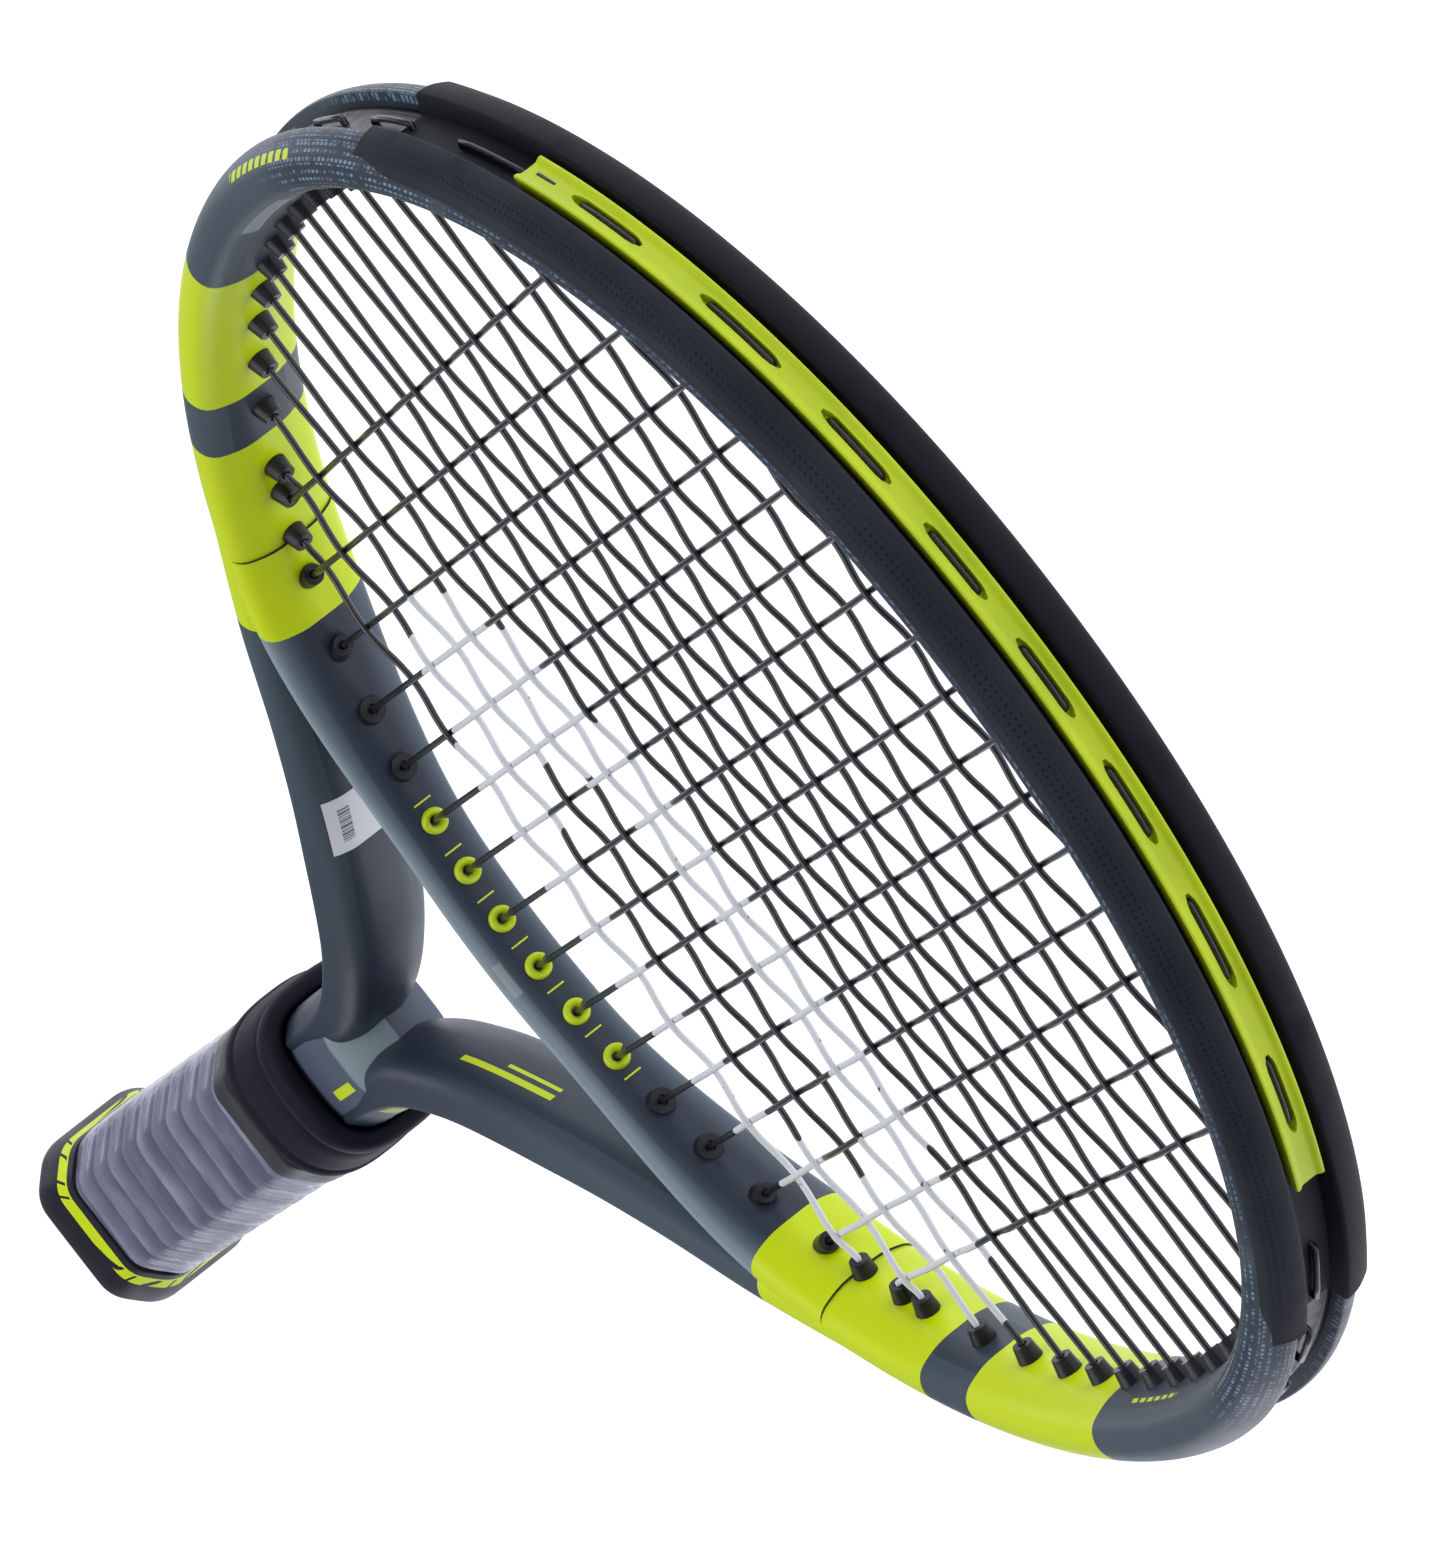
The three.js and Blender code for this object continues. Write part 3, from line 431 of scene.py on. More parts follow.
# --------------------------------------
# Neck web: cloth and resin moulded round both shafts above the handle, so that the neck is one
# rounded body. Where the throat opens it ends in a shallow wedge between the shafts.
# --------------------------------------
turn_round = 2 * np.pi * (np.arange(72) + 0.5) / 72
web_rings = []
for y, half_up, half_wide, squareness in [
    (0.150, 10.6, 13.3, 3.2), (0.200, 11.2, 13.85, 3.2), (0.223, 11.2, 13.85, 3.2), (0.228, 11.1, 13.4, 3.0),
    (0.2325, 10.95, 11.0, 3.2), (0.2345, 10.9, 9.4, 4.0), (0.2352, 10.4, 9.0, 5.0), (0.2378, 6.0, 8.6, 6.0),
    (0.2402, 0.6, 8.2, 6.0),
]:
    c, s = np.cos(turn_round), np.sin(turn_round)
    web_rings.append(np.column_stack([
        np.sign(c) * half_wide / 1000 * np.abs(c) ** (2 / squareness),
        np.full(72, y),
        np.sign(s) * half_up / 1000 * np.abs(s) ** (2 / squareness),
    ]))
neck_web = skin("neck_web", web_rings)
web_paint = Finish("neck_lacquer", Specular_IOR_Level=0.28, Coat_Weight=0.08, Coat_Roughness=0.30)
wx, wy, wz = web_paint.object_xyz()
# Painted highlight: the upper facet of the wedge, which faces the tip, is painted pale slate.
facet_highlight = web_paint.ramp(wy, 0.2343, 0.2352) * (wz > 0.0)
web_bar = wx.within(0.0030, 0.0052) * wy.within(0.2190, 0.2315) * (wz > 0.0)
web_with_highlight = web_paint.pick(facet_highlight, (0.080, 0.100, 0.145, 1.0), (0.250, 0.320, 0.350, 1.0))
lacquered(web_paint, web_paint.pick(web_bar * 0.95, web_with_highlight, LIME))
neck_web.data.materials.append(web_paint.material)
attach(neck_web, "racket")

# --------------------------------------
# Throat bridge: a short separate tube of the same cloth, moulded on between the shafts to
# close the head. It is slimmer in the middle and swells to the hoop's section at both ends.
# --------------------------------------
BRIDGE_T = 0.84
bridge_half = throat_half(BRIDGE_T + (np.pi / 2 - BRIDGE_T) * np.arange(241) / 240)
bridge_half[-1, 0] = 0.0
bridge = Line(np.vstack([bridge_half, (bridge_half[:-1] * [-1, 1])[::-1]]), -1)


def bridge_outline(s):
    x = abs(bridge.at(s)[0]) * 1000
    r = 5.2 + 0.4 * ease(x, 25, 84)
    h = 7.0 + 4.6 * ease(x, 18, 82)
    upper = [
        (-r, 0.42 * h, 2.2), (-0.62 * r, 0.92 * h, 2.6), (0.10 * r, h, 2.6),
        (0.76 * r, 0.80 * h, 2.4), (r, 0.34 * h, 2.0),
    ]
    return rounded(upper + [(u, -z, soft) for u, z, soft in reversed(upper)])


# Distance from the tip to the bridge's middle, so that the hoop's last band ends level on both.
joint_steps = np.diff(throat_half(np.linspace(LEAVES, BRIDGE_T, 40)), axis=0)
joint_run = np.linalg.norm(joint_steps, axis=1).sum()
bridge_mid_far = MIDDLE - hoop.run[SHAFT_STEPS] + joint_run + bridge.length / 2

bridge_s = np.linspace(0.0, bridge.length, 181)
bridge_rings = swept(bridge, bridge_s, [bridge_outline(s) for s in bridge_s])
throat_bridge = skin("bridge_tube", bridge_rings, bridge_s - bridge.length / 2)
bridge_paint = Finish("bridge_lacquer", Specular_IOR_Level=0.28, Coat_Weight=0.08, Coat_Roughness=0.30)
bx, by, bz = bridge_paint.object_xyz()
bu, bv = bridge_paint.uv()
body_tone = bridge_paint.mottle(
    bridge_paint.noise(9.0, 2.0), 0.3, 0.7, (0.056, 0.080, 0.112, 1.0), (0.068, 0.098, 0.130, 1.0))
# Lime ticks between the middle grommets.
beat = bridge_paint.fract(bx / 0.0103 + 0.5)
tick = (abs(beat - 0.5) < 0.015) * (abs(bx) < 0.0330) * (abs(bz) < 0.0019) * (by > 0.3430)
# Painted highlight and painted shade: the upper face and throat side are painted pale slate, and the wall
# that carries the grommets is painted navy.
front_highlight = bridge_paint.ramp(bv, 0.06, 0.25) * (1.0 - bridge_paint.ramp(bv, 0.50, 0.62))
wall_shade = bridge_paint.ramp(abs(bv - 0.5), 0.38, 0.47)
highlighted = bridge_paint.pick(front_highlight, body_tone, (0.290, 0.365, 0.405, 1.0))
shaded = bridge_paint.pick(wall_shade * 0.85, highlighted, NAVY)
lime_end = (bridge_mid_far - abs(bu)) < BAND_END
pale_bar = bx.within(0.0005, 0.0075) * (bz > 0.0050) * by.within(0.3440, 0.3490)
ticked = bridge_paint.pick(pale_bar * 0.5, bridge_paint.pick(tick, shaded, LIME), CHALK)
ticked = bridge_paint.pick(lime_end, ticked, LIME)
lacquered(bridge_paint, ticked)
throat_bridge.data.materials.append(bridge_paint.material)
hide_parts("throat_bridge")
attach(throat_bridge, "racket")

# --------------------------------------
# Bumper guard: a channel of tough matt nylon that snaps over the outer edge of the tip and
# takes the scrapes. Rows of fine pits are moulded into its front flange.
# --------------------------------------
BUMPER_HALF = 0.1545
bumper_s = np.linspace(MIDDLE - BUMPER_HALF, MIDDLE + BUMPER_HALF, 180)


def bumper_outline(s):
    from_end = (BUMPER_HALF - abs(s - MIDDLE)) * 1000
    h = 11.8 - 0.6 * ease(hoop.at(s)[1] * 1000, 430, 660)
    edge = 2.6 + 2.4 * (1 - ease(from_end, 0, 13))
    top = 0.97 * h - 0.10 * h * (edge - 2.6) / 2.4
    skin_up = [
        (edge, top, 0.1), (edge + 0.1, top + 0.35, 0.35), (5.0, 0.90 * h + 0.35, 2.0),
        (6.75, 0.60 * h + 0.5, 1.8), (6.95, 4.3, 0.7), (3.2, 3.3, 0.4),
    ]
    under_up = [(2.1, 4.2, 0.3), (5.95, 5.3, 0.4), (5.95, 0.58 * h, 1.2), (5.2, 0.72 * h, 1.0)]
    ring = skin_up + [(u, -z, q) for u, z, q in reversed(skin_up)]
    ring += [(u, -z, q) for u, z, q in reversed(under_up)] + under_up
    return rounded(ring, 4)


bumper_rings = swept(hoop, bumper_s, [bumper_outline(s) for s in bumper_s])
bumper = skin("bumper_channel", bumper_rings, bumper_s - MIDDLE)
nylon = Finish("bumper_nylon", Specular_IOR_Level=0.14)
nu = nylon.uv()[0]
nz = nylon.object_xyz()[2]
grain = nylon.noise(2600.0, 3.0)
scuff = nylon.ramp(nylon.noise(60.0, 5.0), 0.52, 0.72)
# Pits: a square grid of small round dots in three rows on the front flange.
cell_u = nylon.fract(nu * 800.0) - 0.5
cell_z = nylon.fract(nz * 900.0 + 0.25) - 0.5
pit = (cell_u * cell_u + cell_z * cell_z) < 0.040
worn_pits = nylon.ramp(nylon.noise(300.0, 2.0), 0.25, 0.45)
pit_zone = nz.within(0.00695, 0.01028) * (abs(nu) < 0.146) * worn_pits
pits = pit * pit_zone
base = nylon.mottle(nylon.noise(35.0, 4.0), 0.3, 0.7, (0.018, 0.020, 0.029, 1.0), (0.027, 0.029, 0.040, 1.0))
# Painted shade: the back half of the channel is painted near black, darker than the front.
base = nylon.pick(nylon.ramp(nz, 0.004, -0.004), base, (0.005, 0.006, 0.011, 1.0))
# Painted shade: the pits are painted darker than the flange round them.
nylon.feed(Base_Color=nylon.pick(pits * 0.85, base, (0.008, 0.008, 0.010, 1.0)))
nylon.feed(Roughness=nylon.spread(scuff, 0.0, 1.0, 0.58, 0.75))
nylon.bump(grain * 0.12 - pits, 0.00018, 0.8)
bumper.data.materials.append(nylon.material)
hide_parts("bumper_guard")
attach(bumper, "racket")

# --------------------------------------
# Head grommet strip: a lime nylon band in the bumper's channel, with a raised edge along both
# sides and a window over each pair of main strings where the string turns back.
# --------------------------------------
# Distances outwards from the tube's centreline: its inner wall and the strips' seats, then how
# far inside the wall a string bends, and the string's radius.
R_TUBE, FACE_LOW, FACE_BUMPER, FACE_HIGH, BEND, STRING_R = 0.0057, 0.0029, 0.0033, 0.0044, 0.0034, 0.00063
BRIDGE_WALL, BRIDGE_FACE = 0.0052, 0.0067


def main_x(i):
    return (10.25 * i + 0.0034 * i ** 4) / 1000


def cross_y(k):
    return (519.3 + 11.2 * k - 0.0407 * k ** 2 + 0.0284 * k ** 3) / 1000


class Hole:
    """A string hole: its ends on the inner wall and outside, and how far along the line it is."""

    def __init__(self, line, s, inner, outer, face, wall=None):
        self.line, self.s, self.inner, self.outer, self.face, self.wall = line, s, inner, outer, face, wall

    def axis(self):
        d = self.outer - self.inner
        return d / np.linalg.norm(d)

    def mirrored(self):
        flip = np.array([-1, 1])
        wall = None if self.wall is None else self.line.length - self.wall
        s = self.line.length - self.s
        return Hole(self.line, s, self.inner * flip, self.outer * flip, self.face, wall)


def straight(s, face):
    return Hole(hoop, s, hoop.off(s, -R_TUBE), hoop.off(s, face), face)


def tip_hole(i):
    x = 0.0820 if i == 7.5 else main_x(i)
    return straight(hoop.where(0, x, -R_TUBE - BEND, WIDE_S, MIDDLE), FACE_HIGH)


BUMPER_S = hoop.where(1, 0.590, 0.0, 0.0, MIDDLE)


def cross_hole(k):
    y = 0.6285 if k == 9 else cross_y(k) + (0.001 if k == -9 else 0.0)
    s = hoop.where(1, y, -R_TUBE - BEND, 0.3, MIDDLE)
    return straight(s, FACE_HIGH if k == 9 else FACE_LOW if s < BUMPER_S else FACE_BUMPER)


def throat_hole(i):
    if i == 7.5:
        return straight(hoop.where(1, 0.4045, -R_TUBE, 0.3, MIDDLE), FACE_LOW)
    b = bridge.where(0, main_x(i), -BRIDGE_WALL - BEND, bridge.length / 2, 0.0)
    inner = bridge.off(b, -BRIDGE_WALL)
    if i < 5:
        out = bridge.where(0, 1.04 * main_x(i), BRIDGE_FACE, bridge.length / 2, 0.0)
        return Hole(bridge, out, inner, bridge.off(out, BRIDGE_FACE), BRIDGE_FACE, b)
    s = hoop.where(0, 0.062 if i == 5.5 else 0.078, FACE_LOW, 0.25, hoop.where(1, 0.400, 0, 0, MIDDLE))
    return Hole(hoop, s, inner, hoop.off(s, FACE_LOW), FACE_LOW + 0.00085)


mains = [k + 0.5 for k in range(8)]
crosses = list(range(9, -10, -1))
tip_holes = [tip_hole(i) for i in mains]
throat_holes = [throat_hole(i) for i in mains]
cross_holes = [cross_hole(k) for k in crosses]

strip_half = MIDDLE - hoop.where(0, 0.102, R_TUBE, WIDE_S, MIDDLE)
strip_s = np.linspace(MIDDLE - strip_half, MIDDLE + strip_half, 150)
strip_ring = rounded([
    (3.7, 2.8, 0.2), (6.85, 3.0, 0.4), (6.85, 2.2, 0.5), (6.25, 1.6, 0.5),
    (6.25, -1.6, 0.5), (6.85, -2.2, 0.5), (6.85, -3.0, 0.4), (3.7, -2.8, 0.2),
], 3)
head_strip = skin("head_strip", swept(hoop, strip_s, [strip_ring] * len(strip_s)), strip_s - MIDDLE)


def joined(name, parts):
    """One mesh object out of several (vertices, faces) lists."""
    points, faces = [], []
    for verts, polygons in parts:
        faces += [tuple(k + len(points) for k in polygon) for polygon in polygons]
        points += [tuple(v) for v in verts]
    mesh = bpy.data.meshes.new(name)
    mesh.from_pydata(points, [], faces)
    return stand(name, mesh)


windows = []
for pair in range(4):
    a, b = tip_holes[2 * pair + 1].s - 0.0018, tip_holes[2 * pair].s + 0.0018
    for s0, s1 in [(a, b), (hoop.length - b, hoop.length - a)]:
        steps = np.linspace(0, 1, 13)
        verts = []
        for f in steps:
            half = 0.0003 + 0.00062 * min(1.0, 7.0 * min(f, 1.0 - f)) ** 0.5
            s = s0 + (s1 - s0) * f
            for u, z in [(FACE_HIGH, -half), (0.0095, -half), (0.0095, half), (FACE_HIGH, half)]:
                verts.append((*hoop.off(s, u), z))
        polygons = [(0, 1, 2, 3), (51, 50, 49, 48)]
        for k in range(0, 48, 4):
            polygons += [(k + c, k + 4 + c, k + 4 + (c + 1) % 4, k + (c + 1) % 4) for c in range(4)]
        windows.append((verts, polygons))
cutter = joined("window_cutter", windows)
trim = bmesh.new()
trim.from_mesh(cutter.data)
bmesh.ops.recalc_face_normals(trim, faces=trim.faces)
trim.to_mesh(cutter.data)
trim.free()


def settle(piece):
    """Turns an object's live modifiers into plain mesh."""
    graph = bpy.context.evaluated_depsgraph_get()
    mesh = bpy.data.meshes.new_from_object(piece.evaluated_get(graph))
    piece.modifiers.clear()
    piece.data = mesh
    return piece


cut = head_strip.modifiers.new("windows", "BOOLEAN")
cut.operation, cut.solver, cut.object = "DIFFERENCE", "EXACT", cutter
settle(head_strip)
bpy.data.objects.remove(cutter)
head_strip.data.set_sharp_from_angle(angle=math.radians(40))

lime_nylon = Finish("lime_nylon", Specular_IOR_Level=0.45)
speck = lime_nylon.noise(1500.0, 3.0)
sheen = lime_nylon.noise(40.0, 3.0)
lime_nylon.feed(
    Base_Color=lime_nylon.mottle(sheen, 0.3, 0.7, (0.50, 0.64, 0.004, 1.0), (0.60, 0.74, 0.006, 1.0)),
    Roughness=lime_nylon.spread(sheen, 0.3, 0.7, 0.34, 0.46),
)
lime_nylon.bump(speck, 0.00003, 0.5)
head_strip.data.materials.clear()
head_strip.data.materials.append(lime_nylon.material)
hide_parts("head_grommet_strip")
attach(head_strip, "racket")

# --------------------------------------
# Grommet barrels: tapered nylon tubes, moulded on their strip, that carry each string through
# the wall and stand a few millimetres proud of it inside the head.
# --------------------------------------


def barrel_tree():
    """Geometry Nodes: a flared hollow tube on every point, turned to the point's axis."""
    tree = bpy.data.node_groups.new("barrels_on_points", "GeometryNodeTree")
    face = tree.interface
    face.new_socket("Geometry", in_out="INPUT", socket_type="NodeSocketGeometry")
    sizes = {}
    for label in ("Profile Radius", "Tip Radius", "Bore Radius", "Reach", "Material"):
        kind = "NodeSocketMaterial" if label == "Material" else "NodeSocketFloat"
        sizes[label] = face.new_socket(label, in_out="INPUT", socket_type=kind).identifier
    face.new_socket("Geometry", in_out="OUTPUT", socket_type="NodeSocketGeometry")
    make = tree.nodes.new
    given, done = make("NodeGroupInput"), make("NodeGroupOutput")
    cone, bore = make("GeometryNodeMeshCone"), make("GeometryNodeMeshCylinder")
    cone.fill_type = "NGON"
    cone.inputs["Vertices"].default_value = 20
    cone.inputs["Side Segments"].default_value = 3
    bore.inputs["Vertices"].default_value = 12
    deep = make("ShaderNodeMath")
    deep.operation = "MULTIPLY"
    deep.inputs[1].default_value = 0.8
    rise, lift = make("ShaderNodeCombineXYZ"), make("GeometryNodeTransform")
    hollow = make("GeometryNodeMeshBoolean")
    hollow.operation, hollow.solver = "DIFFERENCE", "EXACT"
    axis = make("GeometryNodeInputNamedAttribute")
    axis.data_type = "FLOAT_VECTOR"
    axis.inputs["Name"].default_value = "axis"
    turn, place = make("FunctionNodeAlignRotationToVector"), make("GeometryNodeInstanceOnPoints")
    real, finish = make("GeometryNodeRealizeInstances"), make("GeometryNodeSetMaterial")
    for source, leaving, target, entering in [
        (given, "Profile Radius", cone, "Radius Bottom"), (given, "Tip Radius", cone, "Radius Top"),
        (given, "Reach", cone, "Depth"), (given, "Bore Radius", bore, "Radius"),
        (given, "Reach", deep, 0), (deep, 0, bore, "Depth"), (given, "Reach", rise, "Z"),
        (bore, "Mesh", lift, "Geometry"), (rise, 0, lift, "Translation"),
        (cone, "Mesh", hollow, 0), (lift, "Geometry", hollow, 1),
        (axis, "Attribute", turn, "Vector"), (given, "Geometry", place, "Points"),
        (hollow, "Mesh", place, "Instance"), (turn, "Rotation", place, "Rotation"),
        (place, "Instances", real, "Geometry"), (real, "Geometry", finish, "Geometry"),
        (given, "Material", finish, "Material"), (finish, "Geometry", done, "Geometry"),
    ]:
        tree.links.new(source.outputs[leaving], target.inputs[entering])
    return tree, sizes


barrels_tree, barrel_inputs = barrel_tree()


def on_points(name, tree, inputs, points, axes, values):
    """A piece grown by a node tree on loose points that carry an axis."""
    mesh = bpy.data.meshes.new(name)
    mesh.from_pydata([tuple(p) for p in points], [], [])
    axis = mesh.attributes.new("axis", "FLOAT_VECTOR", "POINT")
    axis.data.foreach_set("vector", np.asarray(axes, float).ravel())
    piece = stand(name, mesh)
    grow = piece.modifiers.new("grow", "NODES")
    grow.node_group = tree
    for label, value in values.items():
        grow[inputs[label]] = value
    settle(piece)
    piece.data.polygons.foreach_set("use_smooth", [True] * len(piece.data.polygons))
    piece.data.set_sharp_from_angle(angle=math.radians(35))
    return piece


black_nylon = Finish("black_nylon", Specular_IOR_Level=0.35)
sooty = black_nylon.noise(300.0, 3.0)
black_nylon.feed(
    Base_Color=black_nylon.mottle(sooty, 0.35, 0.65, (0.006, 0.006, 0.009, 1.0), (0.012, 0.012, 0.016, 1.0)),
    Roughness=black_nylon.spread(sooty, 0.35, 0.65, 0.28, 0.42),
)
black_nylon.bump(black_nylon.noise(1800.0, 2.0), 0.00003, 0.4)


def barrels(name, holes, widest, tip, bore, reach):
    """A barrel in each hole, its foot sunk a little into the wall."""
    foot = [(*(h.inner + h.axis() * 0.0006), 0.0) for h in holes]
    aim = [(*-h.axis(), 0.0) for h in holes]
    sizes = {"Profile Radius": widest, "Tip Radius": tip, "Bore Radius": bore, "Reach": reach}
    sizes["Material"] = black_nylon.material
    return on_points(name, barrels_tree, barrel_inputs, foot, aim, sizes)


side_holes = cross_holes + [h for h in throat_holes if h.line is hoop]
bridge_holes = [h for h in throat_holes if h.line is bridge]
bridge_holes += [h.mirrored() for h in bridge_holes]
plain_holes = [h for k, h in enumerate(bridge_holes) if k % 5 > 2]
for name, holes, *radii_and_reach in [
    ("side_barrels", side_holes + [h.mirrored() for h in side_holes], 0.0025, 0.0019, 0.0009, 0.0038),
    ("tip_barrels", tip_holes + [h.mirrored() for h in tip_holes], 0.0023, 0.0019, 0.0009, 0.0032),
    ("bridge_barrels", plain_holes, 0.0026, 0.0024, 0.0011, 0.0026),
]:
    piece = barrels(name, holes, *radii_and_reach)
    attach(piece, "racket")

# --------------------------------------
# Side and throat grommet strips: flexible black nylon bands that lie in the groove, with the
# string running over them between its holes.
# --------------------------------------
side_start = hoop.where(0, 0.058, 0.0, 0.25, hoop.where(1, 0.400, 0, 0, MIDDLE))
band_ring = rounded([
    (2.0, 4.3, 0.2), (2.9, 4.3, 0.3), (2.9, 3.3, 0.2), (2.6, 2.9, 0.2),
    (2.6, -2.9, 0.2), (2.9, -3.3, 0.2), (2.9, -4.3, 0.3), (2.0, -4.3, 0.2),
], 3)
for side, name in [(1, "side_strip_right"), (-1, "side_strip_left")]:
    s = np.linspace(side_start, MIDDLE - strip_half + 0.001, 150)
    if side < 0:
        s = (hoop.length - s)[::-1]
    strip = skin(name, swept(hoop, s, [band_ring] * len(s)), s - MIDDLE)
    strip.data.materials.append(black_nylon.material)
    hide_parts("side_grommet_strip_right" if side > 0 else "side_grommet_strip_left")
    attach(strip, "racket")

throat_s = np.linspace(bridge_holes[4].s - 0.0035, bridge.length - bridge_holes[4].s + 0.0035, 90)
throat_ring = rounded([(4.9, 2.6, 0.2), (6.6, 2.6, 0.4), (6.6, -2.6, 0.4), (4.9, -2.6, 0.2)], 3)
throat_strip = skin("throat_strip", swept(bridge, throat_s, [throat_ring] * len(throat_s)), throat_s)
throat_strip.data.materials.append(black_nylon.material)
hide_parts("throat_grommet_strip")
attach(throat_strip, "racket")

# --------------------------------------
# Wide-mouthed collars: six lime rings snapped into the bridge round the middle mains. Each is
# dished, and open on one side like a C so that the string can move.
# --------------------------------------
# Radius and height of the ring's section, in millimetres, and half the angle of its mouth.
ring_profile = [
    (0.95, -1.2), (0.95, 0.3), (1.35, 0.95), (1.75, 1.25), (2.1, 1.3), (2.35, 1.1), (2.5, 0.6), (2.5, -1.2),
]
HALF_MOUTH, OPEN_AT = math.radians(24), -math.pi / 2
for index, hole in enumerate(bridge_holes):
    order = index % 5
    if order > 2:
        continue
    outward_dir = Vector((*bridge.out(hole.wall), 0.0))
    centre = Vector((*hole.inner, 0.0))
    e_up = Vector((0, 0, 1))
    e_side = outward_dir.cross(e_up).normalized()
    angles = np.linspace(OPEN_AT + HALF_MOUTH, OPEN_AT - HALF_MOUTH + 2 * math.pi, 40)
    rings = []
    for angle in angles:
        direction = e_side * math.cos(angle) + e_up * math.sin(angle)
        rings.append([
            tuple(centre + direction * (r / 1000) - outward_dir * (d / 1000)) for r, d in ring_profile
        ])
    side = "right" if hole.inner[0] > 0 else "left"
    collar = skin(f"spin_collar_{side}_{order + 1}", rings)
    soften = collar.modifiers.new("edges", "BEVEL")
    soften.width, soften.segments, soften.angle_limit = 0.00015, 2, math.radians(40)
    settle(collar)
    collar.data.materials.append(lime_nylon.material)
    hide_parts(f"spin_grommet_{side}_{order + 1}")
    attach(collar, "racket")

# --------------------------------------
# Strings: two lengths of polyester monofilament, pulled tight. The mains run the length of the
# head and the crosses are woven over and under them; each turns back outside the frame.
# --------------------------------------
LOOP = STRING_R + 0.0003
OUTER_TURN = 0.622  # where the outermost mains leave their straight run
LAST_CROSSING = (0.0834, 0.6306)  # where the last cross meets them
CROSS_RISE, MAIN_RISE = 0.00062, 0.00058


def through(hole):
    d = hole.axis()
    return [(*(hole.inner - d * BEND), 0.0), (*(hole.outer + d * (LOOP - 0.00045)), 0.0)]


def turn_back(a, b, lean=0.0):
    drop = 0.62 if a.face > b.face else 0.0
    steps = max(3, int(abs(b.s - a.s) / 0.0035))
    points = []
    for k in range(steps + 1):
        f = 0.12 / steps if k == 0 else 1 - 0.12 / steps if k == steps else k / steps
        level = a.face + (b.face - a.face) * max(0.0, (f - drop) / (1 - drop)) + LOOP
        points.append((*a.line.off(a.s + (b.s - a.s) * f, level), lean * math.sin(math.pi * f)))
    return points


def knot_end(hole, step, lean=1.0):
    return [(*hole.line.off(hole.s + step * d, hole.face + LOOP + 0.0004), lean * z)
            for d, z in [(0.0012, 0.0006), (0.0034, 0.0020), (0.0052, 0.0024), (0.0064, 0.0024)]]


def side_of(hole, sign):
    return hole if sign > 0 else hole.mirrored()


def woven(i, sign, throat, tip):
    """One main between its holes, pressed a little down or up by each cross it meets."""
    low, high = np.array(through(throat)[0][:2]), np.array(through(tip)[0][:2])
    turn = [np.array((sign * main_x(i), OUTER_TURN))] if i == 7.5 else []
    corners = [low, *turn, high]
    points = []
    for a, b in zip(corners[:-1], corners[1:]):
        for f in np.linspace(0, 1, max(2, int((b[1] - a[1]) / 0.0016)))[:-1]:
            points.append(a + (b - a) * f)
    column = int(i) + 8 if sign > 0 else 7 - int(i)
    rows = [(cross_y(k), n) for n, k in enumerate(crosses)]
    if i == 7.5:
        rows = [(LAST_CROSSING[1], 0)] + rows[1:-1]
    rows = rows[::-1]
    heights = [cross_y(-9) - 0.012] + [y for y, _ in rows] + [high[1] - 0.0005]
    sides = [0.0] + [-MAIN_RISE if (column + n) % 2 == 0 else MAIN_RISE for _, n in rows] + [0.0]
    wave = []
    for x, y in points[1:]:
        j = int(np.clip(np.searchsorted(heights, y) - 1, 0, len(heights) - 2))
        f = min(max((y - heights[j]) / (heights[j + 1] - heights[j]), 0.0), 1.0)
        wave.append((x, y, sides[j] + (sides[j + 1] - sides[j]) * (1 - math.cos(math.pi * f)) / 2))
    return wave


main_route = []
order = [(i, -1) for i in reversed(mains)] + [(i, 1) for i in mains]
for n, (i, sign) in enumerate(order):
    upward = (n % 8) % 2 == 0
    tip, throat = side_of(tip_holes[int(i)], sign), side_of(throat_holes[int(i)], sign)
    first, last = (throat, tip) if upward else (tip, throat)
    if n == 0:
        main_route += knot_end(throat, -0.9)[::-1]
    run = woven(i, sign, throat, tip)
    main_route += through(first)[::-1]
    main_route += run if upward else run[::-1]
    main_route += through(last)
    if n + 1 < len(order):
        j, other_sign = order[n + 1]
        main_route += turn_back(last, side_of((tip_holes if upward else throat_holes)[int(j)], other_sign))
    else:
        main_route += knot_end(last, 0.9)


def main_at(column, y):
    i = abs(column)
    low = through(throat_holes[int(i)])[0]
    high = (main_x(i), OUTER_TURN) if i == 7.5 else through(tip_holes[int(i)])[0]
    return math.copysign(low[0] + (high[0] - low[0]) * (y - low[1]) / (high[1] - low[1]), column)


